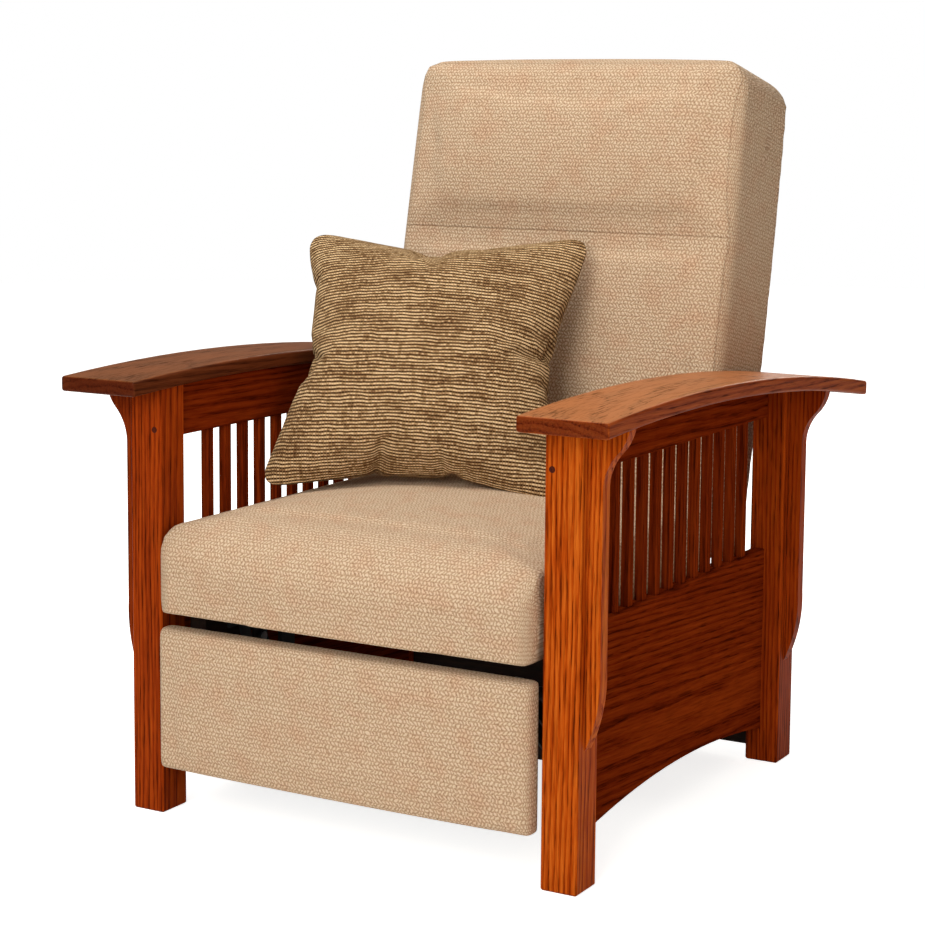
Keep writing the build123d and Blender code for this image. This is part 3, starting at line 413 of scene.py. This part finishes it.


# The seat's sinuous springs are clipped across its frame, with a deck of black woven cloth over them and
# round the front rail; the wrap on the rail is partly real cambric and partly painted shade that keeps the
# gap above it dark. The same strong webbing, in bands, spans the back's frame.
finish_node("seat_springs", spring_steel)
WEB_THREAD = 2.4 * MM
web_cloth, tree = start_material("woven_black_webbing")
place = add(tree, "ShaderNodeTexCoord", {}, {})
across = add(tree, "ShaderNodeTexWave", {"bands_direction": "X"}, {
    "Vector": place.outputs["Object"], "Scale": math.pi / 10 / WEB_THREAD, "Distortion": 0.3})
along = add(tree, "ShaderNodeTexWave", {"bands_direction": "DIAGONAL"}, {
    "Vector": place.outputs["Object"], "Scale": math.pi / 10 / WEB_THREAD, "Distortion": 0.3})
threads = add(tree, "ShaderNodeMath", {"operation": "MULTIPLY"}, {
    0: across.outputs["Fac"], 1: along.outputs["Fac"]})
web_colour = add(tree, "ShaderNodeValToRGB", {}, {"Fac": threads.outputs[0]}, [
    (0.0, linear("#0B0B0C")), (1.0, linear("#2C2B2A"))])
web_relief = add(tree, "ShaderNodeBump", {}, {
    "Height": threads.outputs[0], "Strength": 0.6, "Distance": 0.4 * MM})
finish_material(tree, {"Base Color": web_colour.outputs[0], "Roughness": 0.85,
                       "Specular IOR Level": 0.25, "Normal": web_relief.outputs[0]})
finish_node("seat_deck", web_cloth)
# The black cloth round the front rail is partly painted shade: it keeps the gap under the seat's front
# dark.
finish_node("seat_front_rail", web_cloth)
finish_node("back_bands", web_cloth)


# The seat cushion: a foam core with a waterfall front under beige chenille, pulled down and stapled
# beneath its frame. The yarn lies in rows of small slanting tufts.
TUFT_WIDTH, TUFT_ROW = 5.4 * MM, 5.6 * MM
SEAM_HALF = 1.4 * MM


def chenille(name):
    """Beige chenille on the piece's own UV map in metres, with its seams on an attribute."""
    material, tree = start_material(name)
    place = add(tree, "ShaderNodeTexCoord", {}, {})
    drift = add(tree, "ShaderNodeTexNoise", {"noise_dimensions": "2D"}, {
        "Vector": place.outputs["UV"], "Scale": 95.0, "Detail": 3.0})
    loose = add(tree, "ShaderNodeVectorMath", {"operation": "MULTIPLY_ADD"}, {
        0: drift.outputs["Color"], 1: (0.0075, 0.0055, 0), 2: place.outputs["UV"]})
    cells = add(tree, "ShaderNodeMapping", {}, {
        "Vector": loose.outputs[0], "Scale": (1 / TUFT_WIDTH, 1 / TUFT_ROW, 1)})
    split = add(tree, "ShaderNodeSeparateXYZ", {}, {"Vector": cells.outputs[0]})
    row = add(tree, "ShaderNodeMath", {"operation": "FLOOR"}, {0: split.outputs[1]})
    rise = add(tree, "ShaderNodeMath", {"operation": "FRACT"}, {0: split.outputs[1]})
    odd = add(tree, "ShaderNodeMath", {"operation": "FLOORED_MODULO"}, {0: row.outputs[0], 1: 2.0})
    way = add(tree, "ShaderNodeMath", {"operation": "MULTIPLY_ADD"}, {
        0: odd.outputs[0], 1: 1.1, 2: -0.55})
    middle = add(tree, "ShaderNodeMath", {"operation": "SUBTRACT"}, {0: rise.outputs[0], 1: 0.5})
    slant = add(tree, "ShaderNodeMath", {"operation": "MULTIPLY_ADD"}, {
        0: middle.outputs[0], 1: way.outputs[0], 2: split.outputs[0]})
    brick = add(tree, "ShaderNodeMath", {"operation": "MULTIPLY_ADD"}, {
        0: odd.outputs[0], 1: 0.5, 2: slant.outputs[0]})
    wave_in = add(tree, "ShaderNodeMath", {"operation": "MULTIPLY"}, {
        0: brick.outputs[0], 1: 2 * math.pi})
    wave = add(tree, "ShaderNodeMath", {"operation": "COSINE"}, {0: wave_in.outputs[0]})
    yarn = add(tree, "ShaderNodeMath", {"operation": "MULTIPLY_ADD"}, {
        0: wave.outputs[0], 1: 0.5, 2: 0.5})
    arch_in = add(tree, "ShaderNodeMath", {"operation": "MULTIPLY"}, {0: rise.outputs[0], 1: math.pi})
    arch = add(tree, "ShaderNodeMath", {"operation": "SINE"}, {0: arch_in.outputs[0]})
    tuft = add(tree, "ShaderNodeMath", {"operation": "MULTIPLY"}, {
        0: yarn.outputs[0], 1: arch.outputs[0]})
    calm = add(tree, "ShaderNodeMath", {"operation": "MULTIPLY_ADD"}, {
        0: tuft.outputs[0], 1: 0.72, 2: -0.08})
    fuzz = add(tree, "ShaderNodeTexNoise", {"noise_dimensions": "2D"}, {
        "Vector": place.outputs["UV"], "Scale": 420.0, "Detail": 3.0, "Roughness": 0.65})
    height = add(tree, "ShaderNodeMath", {"operation": "MULTIPLY_ADD"}, {
        0: fuzz.outputs["Fac"], 1: 1.25, 2: calm.outputs[0]})
    beige = add(tree, "ShaderNodeValToRGB", {}, {"Fac": height.outputs[0]}, [
        (0.20, linear("#806245")), (0.52, linear("#AC8D70")), (0.78, linear("#C2A588")),
        (1.0, linear("#D7C1A6"))])
    blush = add(tree, "ShaderNodeTexNoise", {"noise_dimensions": "2D"}, {
        "Vector": place.outputs["UV"], "Scale": 26.0, "Detail": 2.0})
    blush_amount = add(tree, "ShaderNodeMapRange", {}, {
        "Value": blush.outputs["Fac"], "From Min": 0.45, "From Max": 0.75, "To Min": 0.0,
        "To Max": 0.28})
    tinted = add(tree, "ShaderNodeMix", {"data_type": "RGBA", "blend_type": "MULTIPLY"}, {
        0: blush_amount.outputs[0], 6: beige.outputs[0], 7: linear("#F2CDBE")})
    gaps = []
    for kind in ("stitch", "edge"):
        far = add(tree, "ShaderNodeAttribute", {"attribute_name": kind + "_distance"}, {})
        gaps.append(add(tree, "ShaderNodeMath", {"operation": "ABSOLUTE"}, {0: far.outputs["Fac"]}))
    nearest = add(tree, "ShaderNodeMath", {"operation": "MINIMUM"}, {
        0: gaps[0].outputs[0], 1: gaps[1].outputs[0]})
    seam = add(tree, "ShaderNodeMapRange", {"interpolation_type": "SMOOTHSTEP"}, {
        "Value": nearest.outputs[0], "From Min": 0.0, "From Max": 2 * SEAM_HALF,
        "To Min": 1.0, "To Max": 0.0})
    # Painted shade: along the stitched lines, the boxing and tack edges the beige is darkened a quarter of
    # the way to brown, for the shade in the seam creases.
    seam_crease_shade = add(tree, "ShaderNodeMath", {"operation": "MULTIPLY"}, {0: seam.outputs[0], 1: 0.25})
    colour = add(tree, "ShaderNodeMix", {"data_type": "RGBA"}, {
        0: seam_crease_shade.outputs[0], 6: tinted.outputs[2], 7: linear("#6E4F30")})
    pressed = add(tree, "ShaderNodeMath", {"operation": "MULTIPLY_ADD"}, {
        0: seam.outputs[0], 1: -0.9, 2: height.outputs[0]})
    relief = add(tree, "ShaderNodeBump", {}, {
        "Height": pressed.outputs[0], "Strength": 0.75, "Distance": 1.3 * MM})
    finish_material(tree, {
        "Base Color": colour.outputs[2], "Roughness": 0.92, "Specular IOR Level": 0.18,
        "Sheen Weight": 0.12, "Sheen Roughness": 0.55, "Sheen Tint": linear("#F2DFC8"),
        "Normal": relief.outputs[0]})
    return material


def baked(piece):
    """The piece's mesh with its modifiers worked in."""
    graph = bpy.context.evaluated_depsgraph_get()
    return bpy.data.meshes.new_from_object(piece.evaluated_get(graph))


def use_mesh(piece, mesh):
    """Swaps in a finished mesh and clears the modifiers it came from."""
    old = piece.data
    piece.modifiers.clear()
    piece.data = mesh
    bpy.data.meshes.remove(old)


def points_of(mesh):
    found = np.zeros(len(mesh.vertices) * 3)
    mesh.vertices.foreach_get("co", found)
    return found.reshape(-1, 3)


def normals_of(mesh):
    found = np.zeros(len(mesh.vertices) * 3)
    mesh.vertex_normals.foreach_get("vector", found)
    return found.reshape(-1, 3)


def set_points(mesh, points):
    mesh.vertices.foreach_set("co", points.reshape(-1))
    mesh.update()


MERGE_GAP = 0.02 * MM


def foam_core(name, node, voxel):
    """An even copy of the CAD core for its cover, true to the core's faces, its corners softened."""
    builder = bmesh.new()
    builder.from_mesh(nodes[node].data)
    bmesh.ops.remove_doubles(builder, verts=builder.verts[:], dist=MERGE_GAP)
    core = new_object(name, builder)
    remesh = core.modifiers.new("remesh", "REMESH")
    remesh.mode = "VOXEL"
    remesh.voxel_size = voxel
    smooth = core.modifiers.new("smooth", "SMOOTH")
    smooth.factor, smooth.iterations = 0.5, 3
    hug = core.modifiers.new("hug", "SHRINKWRAP")
    hug.target = nodes[node]
    soften = core.modifiers.new("soften", "SMOOTH")
    soften.factor, soften.iterations = 0.5, 2
    use_mesh(core, baked(core))
    return core


SETTLING_STEPS = 20


def stuff(core, pressure, sink, swell, held, low, high):
    """Blows the cover up as foam fills it. held is how far each point is sewn down, 0 to 1, and
    low and high are the corners of the room that it has."""
    start, out = points_of(core.data), normals_of(core.data)
    sewn = core.vertex_groups.new(name="sewn")
    for index in np.nonzero(held > 0.01)[0]:
        sewn.add([int(index)], float(held[index]), "REPLACE")
    cloth = core.modifiers.new("cloth", "CLOTH")
    cloth.settings.use_pressure = True
    cloth.settings.uniform_pressure_force = pressure
    cloth.settings.effector_weights.gravity = 0
    cloth.settings.quality = 4
    cloth.settings.bending_stiffness = 0.6
    cloth.settings.vertex_group_mass = "sewn"
    for step in range(1, SETTLING_STEPS + 1):
        scene.frame_set(step)
    lift = ((points_of(baked(core)) - start) * out).sum(axis=1)
    lift -= np.median(lift)
    scene.frame_set(1)
    core.modifiers.clear()
    core.vertex_groups.clear()
    settled = start + out * np.clip(lift, -sink, swell)[:, None]
    set_points(core.data, np.clip(settled, np.array(low), np.array(high)))
    rounder = core.modifiers.new("smooth", "SMOOTH")
    rounder.factor, rounder.iterations = 0.4, 2
    finer = core.modifiers.new("finer", "SUBSURF")
    finer.levels = finer.render_levels = 1
    use_mesh(core, baked(core))
    core.data.shade_smooth()


def wrap(across, half, turn, depth):
    """Cloth carried round an edge: the way across, plus the depth once it has turned the corner."""
    turned = np.clip((np.abs(across) - (half - turn)) / turn, 0, 1) ** 2
    return across + np.sign(across) * turned * depth


def lay_cloth(piece, u, v, **seams):
    """Writes the fabric's own map in metres, and how far each point is from each kind of seam."""
    mesh = piece.data
    corner = np.zeros(len(mesh.loops), dtype=np.int32)
    mesh.loops.foreach_get("vertex_index", corner)
    while mesh.uv_layers:
        mesh.uv_layers.remove(mesh.uv_layers[0])
    layer = mesh.uv_layers.new(name="fabric")
    layer.data.foreach_set("uv", np.stack([u[corner], v[corner]], axis=1).reshape(-1))
    for kind in ("stitch", "edge"):
        far = mesh.attributes.new(kind + "_distance", "FLOAT", "POINT")
        far.data.foreach_set("value", seams.get(kind, np.ones(len(mesh.vertices))))


beige_chenille = chenille("beige_chenille")
seat_low, seat_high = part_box("seat_cushion")
seat = foam_core("seat_cushion_cover", "seat_cushion", 7 * MM)
seat_points = points_of(seat.data)
staple_band = 12 * MM
arm_room = 0.5 * MM
front_puff, top_puff = 4 * MM, 2 * MM
stapled = np.clip((seat_low.z + staple_band - seat_points[:, 2]) / staple_band, 0, 1)
stuff(seat, 4.0, 1.5 * MM, 3 * MM, stapled, (
    seat_low.x + arm_room, seat_low.y - front_puff, seat_low.z), (
    seat_high.x - arm_room, seat_high.y, seat_high.z + top_puff))
seat_points = points_of(seat.data)
fall_y, fall_z, fall_radius = -0.300, 0.330, 0.105    # the waterfall front's centre and radius
crown_depth = 36 * MM
behind, below = seat_points[:, 1] - fall_y, seat_points[:, 2] - fall_z
bend = np.arctan2(np.maximum(-behind, 0), np.maximum(below, 1e-6))
seat_rows = np.where(behind > 0, behind, np.where(
    below < 0, -(fall_radius * math.pi / 2 - below), -fall_radius * bend))
seat_side = np.clip(seat_high.z - crown_depth - seat_points[:, 2], 0, 1)
lay_cloth(seat, wrap(seat_points[:, 0], seat_high.x, 24 * MM, seat_side), seat_rows)
seat.data.materials.append(beige_chenille)
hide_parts("seat_cushion")
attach(seat, "seat")


# The footrest pad: 40 mm of foam on a plywood board, wrapped in the same chenille with rounded
# edges, and stapled behind the board.
pad_low, pad_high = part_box("footrest_pad")
pad = foam_core("footrest_pad_cover", "footrest_pad", 6 * MM)
pad_points = points_of(pad.data)
pad_tuck = 6 * MM
board_room = 0.6 * MM
stapled = np.clip((pad_points[:, 1] - pad_high.y + pad_tuck) / pad_tuck, 0, 1)
stuff(pad, 3.0, 1.2 * MM, 2.5 * MM, stapled, (pad_low.x, pad_low.y - front_puff, pad_low.z), (
    pad_high.x, pad_high.y - board_room, pad_high.z))
pad_points = points_of(pad.data)
pad_deep = pad_points[:, 1] - pad_low.y
pad_middle, pad_half = (pad_low.z + pad_high.z) / 2, (pad_high.z - pad_low.z) / 2
pad_turn = 12 * MM
lay_cloth(pad, wrap(pad_points[:, 0], pad_high.x, pad_turn, pad_deep),
          wrap(pad_points[:, 2] - pad_middle, pad_half, pad_turn, pad_deep))
pad.data.materials.append(beige_chenille)
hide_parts("footrest_pad")
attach(pad, "footrest")


# The back cushion: a tall foam block in two puffs, parted by one stitched line across it, with a
# boxing strip sewn round its sides.
rake = math.radians(12.1)
back_hinge = Vector((0, 0.181, 0.300))
back_up = np.array((0, math.sin(rake), math.cos(rake)))
back_ahead = np.array((0, -math.cos(rake), math.sin(rake)))
stitch_height = 0.484
edge_turn = 36 * MM
back_low, back_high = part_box("back_cushion")
back = foam_core("back_cushion_cover", "back_cushion", 7.5 * MM)


def back_frame(points):
    """How far up the back and how far ahead of its hinge line each point lies."""
    away = points - np.array(back_hinge)
    return away @ back_up, away @ back_ahead


def front_line(up, out):
    """How far ahead the back's front face lies at each height, read in narrow bands."""
    band = 12 * MM
    step = np.floor(np.minimum(up, up.max() - edge_turn) / band).astype(int)
    step -= step.min()
    ahead = np.full(step.max() + 1, out.min())
    np.maximum.at(ahead, step, out)
    return ahead[step]


up, out = back_frame(points_of(back.data))
stitched = np.clip(1.4 - np.abs(up - stitch_height) / (6 * MM), 0, 1) * (out > 0.03)
tucked = np.clip(1 - (out - out.min()) / 0.02, 0, 1)
stuff(back, 4.0, 2 * MM, 3 * MM, np.maximum(stitched, tucked), (back_low.x, back_low.y - 0.006, back_low.z),
      (back_high.x, back_high.y + 0.001, back_high.z + 0.002))
back_points = points_of(back.data)
up, out = back_frame(back_points)
back_half, back_top = back_high.x, up.max()
front = front_line(up, out)
past_side = np.maximum(np.abs(back_points[:, 0]) - (back_half - edge_turn), 0)
past_top = np.maximum(up - (back_top - edge_turn), 0)
turned = np.arctan2(out - (front - edge_turn), np.hypot(past_side, past_top) + 1e-9)
behind = np.clip(front - out, 0, 1)
stitch_gap = np.where((out > 0.02) & (turned > math.pi / 4), up - stitch_height, 1.0)
lay_cloth(back, wrap(back_points[:, 0], back_half, 26 * MM, behind),
          np.where(up > 0.3, wrap(up, back_top, 40 * MM, behind), up), stitch=stitch_gap,
          edge=edge_turn * (turned - math.pi / 4))
back.data.materials.append(beige_chenille)
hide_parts("back_cushion")
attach(back, "back")


# The outside back: one flat panel of the same chenille pulled over a thin board and tacked along
# its edges.
cloth_grid = 9 * MM
tack_line = 9 * MM
fold_round = 1.2 * MM
outside_low, outside_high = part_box("back_outer_board")
outside_mesh = bmesh.new()
outside_mesh.from_mesh(nodes["back_outer_board"].data)
bmesh.ops.remove_doubles(outside_mesh, verts=outside_mesh.verts[:], dist=MERGE_GAP)
bmesh.ops.dissolve_limit(outside_mesh, angle_limit=math.radians(5), verts=outside_mesh.verts[:],
                         edges=outside_mesh.edges[:])
bmesh.ops.bevel(outside_mesh, geom=outside_mesh.edges[:], offset=fold_round, segments=3, profile=0.5,
                affect="EDGES", material=-1)
board_ups = back_frame(points_of(nodes["back_outer_board"].data))[0]
for direction, start, end in ((np.array((1.0, 0, 0)), outside_low.x, outside_high.x),
                              (back_up, board_ups.min(), board_ups.max())):
    for step in np.arange(start + cloth_grid, end, cloth_grid):
        bmesh.ops.bisect_plane(
            outside_mesh, geom=outside_mesh.verts[:] + outside_mesh.edges[:] + outside_mesh.faces[:],
            plane_co=np.array(back_hinge) + direction * step, plane_no=direction)
outside = new_object("outside_back_cover", outside_mesh)
outside.data.shade_smooth()
outside_points = points_of(outside.data)
up, out = back_frame(outside_points)
edge_gap = np.minimum(outside_high.x - np.abs(outside_points[:, 0]), np.minimum(
    up.max() - up, up - up.min()))
lay_cloth(outside, outside_points[:, 0], up, edge=edge_gap - tack_line)
outside.data.materials.append(beige_chenille)
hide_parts("back_outer_board")
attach(outside, "back")


# The throw pillow: a loose knife-edged case of ribbed brown and beige cloth over soft fibre. It
# leans in the corner between the arm and the back.
RIB_ROW, RIB_STITCH = 5.3 * MM, 4.2 * MM


def ribbed_cloth(name):
    """Brown cloth with broken beige ribs along it, on the piece's own UV map in metres."""
    material, tree = start_material(name)
    place = add(tree, "ShaderNodeTexCoord", {}, {})
    drift = add(tree, "ShaderNodeTexNoise", {"noise_dimensions": "2D"}, {
        "Vector": place.outputs["UV"], "Scale": 32.0, "Detail": 3.0})
    loose = add(tree, "ShaderNodeVectorMath", {"operation": "MULTIPLY_ADD"}, {
        0: drift.outputs["Color"], 1: (0.006, 0.0055, 0), 2: place.outputs["UV"]})
    cells = add(tree, "ShaderNodeMapping", {}, {
        "Vector": loose.outputs[0], "Scale": (1 / RIB_STITCH, 1 / RIB_ROW, 1)})
    split = add(tree, "ShaderNodeSeparateXYZ", {}, {"Vector": cells.outputs[0]})
    row = add(tree, "ShaderNodeMath", {"operation": "FLOOR"}, {0: split.outputs[1]})
    rise = add(tree, "ShaderNodeMath", {"operation": "FRACT"}, {0: split.outputs[1]})
    column = add(tree, "ShaderNodeMath", {"operation": "FLOOR"}, {0: split.outputs[0]})
    step = add(tree, "ShaderNodeMath", {"operation": "FRACT"}, {0: split.outputs[0]})
    cell = add(tree, "ShaderNodeCombineXYZ", {}, {0: column.outputs[0], 1: row.outputs[0]})
    chance = add(tree, "ShaderNodeTexWhiteNoise", {"noise_dimensions": "2D"}, {
        "Vector": cell.outputs[0]})
    rib_in = add(tree, "ShaderNodeMath", {"operation": "MULTIPLY"}, {0: rise.outputs[0], 1: math.pi})
    rib = add(tree, "ShaderNodeMath", {"operation": "SINE"}, {0: rib_in.outputs[0]})
    rib = add(tree, "ShaderNodeMapRange", {"interpolation_type": "SMOOTHSTEP"}, {
        "Value": rib.outputs[0], "From Min": 0.45, "From Max": 0.92})
    bead_in = add(tree, "ShaderNodeMath", {"operation": "MULTIPLY"}, {0: step.outputs[0], 1: math.pi})
    bead = add(tree, "ShaderNodeMath", {"operation": "SINE"}, {0: bead_in.outputs[0]})
    lit = add(tree, "ShaderNodeMapRange", {}, {
        "Value": chance.outputs["Value"], "From Min": 0.0, "From Max": 0.5, "To Min": 0.55,
        "To Max": 1.0})
    beaded = add(tree, "ShaderNodeMath", {"operation": "MULTIPLY_ADD"}, {
        0: bead.outputs[0], 1: 0.45, 2: 0.55})
    beige_rib = add(tree, "ShaderNodeMath", {"operation": "MULTIPLY"}, {
        0: rib.outputs[0], 1: beaded.outputs[0]})
    beige_rib = add(tree, "ShaderNodeMath", {"operation": "MULTIPLY"}, {
        0: beige_rib.outputs[0], 1: lit.outputs[0]})
    long_place = add(tree, "ShaderNodeMapping", {}, {
        "Vector": loose.outputs[0], "Scale": (14.0, 1 / (3 * RIB_ROW), 1)})
    stripe = add(tree, "ShaderNodeTexNoise", {"noise_dimensions": "2D"}, {
        "Vector": long_place.outputs[0], "Scale": 1.0, "Detail": 2.0})
    stripe_lift = add(tree, "ShaderNodeMapRange", {}, {
        "Value": stripe.outputs["Fac"], "From Min": 0.34, "From Max": 0.6, "To Min": 0.72,
        "To Max": 1.08})
    tie = add(tree, "ShaderNodeMapRange", {"interpolation_type": "SMOOTHSTEP"}, {
        "Value": bead.outputs[0], "From Min": 0.45, "From Max": 0.0, "To Max": 0.55})
    woven = add(tree, "ShaderNodeMath", {"operation": "MAXIMUM"}, {
        0: beige_rib.outputs[0], 1: tie.outputs[0]})
    fuzz = add(tree, "ShaderNodeTexNoise", {"noise_dimensions": "2D"}, {
        "Vector": place.outputs["UV"], "Scale": 500.0, "Detail": 2.0})
    fuzzy = add(tree, "ShaderNodeMath", {"operation": "MULTIPLY_ADD"}, {
        0: fuzz.outputs["Fac"], 1: 0.5, 2: -0.22})
    shown = add(tree, "ShaderNodeMath", {"operation": "MULTIPLY_ADD"}, {
        0: woven.outputs[0], 1: stripe_lift.outputs[0], 2: fuzzy.outputs[0]})
    colour = add(tree, "ShaderNodeValToRGB", {}, {"Fac": shown.outputs[0]}, [
        (0.05, linear("#35200F")), (0.32, linear("#654426")), (0.62, linear("#AC8A60")),
        (0.95, linear("#DCBC90"))])
    # Painted shade: along the knife-edge seam the cloth is darkened three quarters of the way to near
    # black, for the shade in its crease.
    seam_far = add(tree, "ShaderNodeAttribute", {"attribute_name": "seam_distance"}, {})
    seam = add(tree, "ShaderNodeMapRange", {"interpolation_type": "SMOOTHSTEP"}, {
        "Value": seam_far.outputs["Fac"], "From Min": 0.0, "From Max": 2.2 * MM,
        "To Min": 0.75, "To Max": 0.0})
    seam_shaded_colour = add(tree, "ShaderNodeMix", {"data_type": "RGBA"}, {
        0: seam.outputs[0], 6: colour.outputs[0], 7: linear("#24140A")})
    relief = add(tree, "ShaderNodeBump", {}, {
        "Height": shown.outputs[0], "Strength": 0.8, "Distance": 1.2 * MM})
    finish_material(tree, {
        "Base Color": seam_shaded_colour.outputs[2], "Roughness": 0.93, "Specular IOR Level": 0.15,
        "Sheen Weight": 0.12, "Sheen Roughness": 0.5, "Sheen Tint": linear("#D8BB8A"),
        "Normal": relief.outputs[0]})
    return material


PILLOW_HALF = 214 * MM
PILLOW_FULL = 118 * MM
PILLOW_CUT = 222 * MM     # half the case before it is filled, which draws its sides in
PILLOW_YAW, PILLOW_LEAN = 17.0, -35.5
EAR_ROUND = 30 * MM       # each corner of the case is cut round
WEAVE_STEPS = 60
FILLING_STEPS = 45
pillow_low, pillow_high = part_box("throw_pillow")
pillow_middle = (pillow_low + pillow_high) / 2
pillow_turn = (Matrix.Rotation(math.radians(PILLOW_YAW), 3, "Z")
               @ Matrix.Rotation(math.radians(PILLOW_LEAN), 3, "X"))

case = bmesh.new()
bmesh.ops.create_grid(case, x_segments=WEAVE_STEPS, y_segments=WEAVE_STEPS, size=PILLOW_CUT)
front_cloth = case.verts[:]
bmesh.ops.duplicate(case, geom=case.faces[:])
seam_layer = case.verts.layers.float.new("seam_distance")
for index, vert in enumerate(case.verts):
    side = 1 if index < len(front_cloth) else -1
    from_seam = min(PILLOW_CUT - abs(vert.co.x), PILLOW_CUT - abs(vert.co.y))
    ear_x, ear_y = [max(abs(way) - (PILLOW_CUT - EAR_ROUND), 0) for way in vert.co.xy]
    if ear_x and ear_y:
        vert.co.x -= math.copysign(ear_x * (1 - math.sqrt(1 - (ear_y / EAR_ROUND) ** 2 / 2)), vert.co.x)
        vert.co.y -= math.copysign(ear_y * (1 - math.sqrt(1 - (ear_x / EAR_ROUND) ** 2 / 2)), vert.co.y)
    vert[seam_layer] = from_seam
    ripple = 0.6 * MM * math.sin(61 * vert.co.x + 2 * side) * math.sin(53 * vert.co.y + side)
    vert.co.z = side * min(from_seam * 0.35, 6 * MM) + (ripple if from_seam > 0.001 * MM else 0)
case_map = case.loops.layers.uv.new("fabric")
for face in case.faces:
    for corner in face.loops:
        corner[case_map].uv = corner.vert.co.x, corner.vert.co.y
bmesh.ops.remove_doubles(case, verts=case.verts[:], dist=0.05 * MM)
bmesh.ops.recalc_face_normals(case, faces=case.faces[:])
bmesh.ops.rotate(case, matrix=Matrix.Rotation(math.pi / 2, 3, "X"), verts=case.verts[:])
pillow = new_object("throw_pillow_case", case)
flat = points_of(pillow.data)
cloth = pillow.modifiers.new("cloth", "CLOTH")
cloth.settings.use_pressure = True
cloth.settings.uniform_pressure_force = 9.0
cloth.settings.effector_weights.gravity = 0
cloth.settings.quality = 5
cloth.settings.tension_stiffness = cloth.settings.compression_stiffness = 25
cloth.settings.bending_stiffness = 0.4
for step in range(1, FILLING_STEPS + 1):
    scene.frame_set(step)
filled = points_of(baked(pillow))
scene.frame_set(1)
pillow.modifiers.clear()
filled -= (filled.max(0) + filled.min(0)) / 2
filled[:, 1] *= PILLOW_FULL / (filled[:, 1].max() - filled[:, 1].min())
filled[:, 0] *= PILLOW_HALF / filled[:, 0].max()
filled[:, 2] *= PILLOW_HALF / filled[:, 2].max()
set_points(pillow.data, filled @ np.array(pillow_turn).T + np.array(pillow_middle))
finer = pillow.modifiers.new("finer", "SUBSURF")
finer.levels = finer.render_levels = 1
use_mesh(pillow, baked(pillow))
pillow.data.shade_smooth()
pillow.data.materials.append(ribbed_cloth("ribbed_pillow_cloth"))
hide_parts("throw_pillow")
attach(pillow, "pillow")
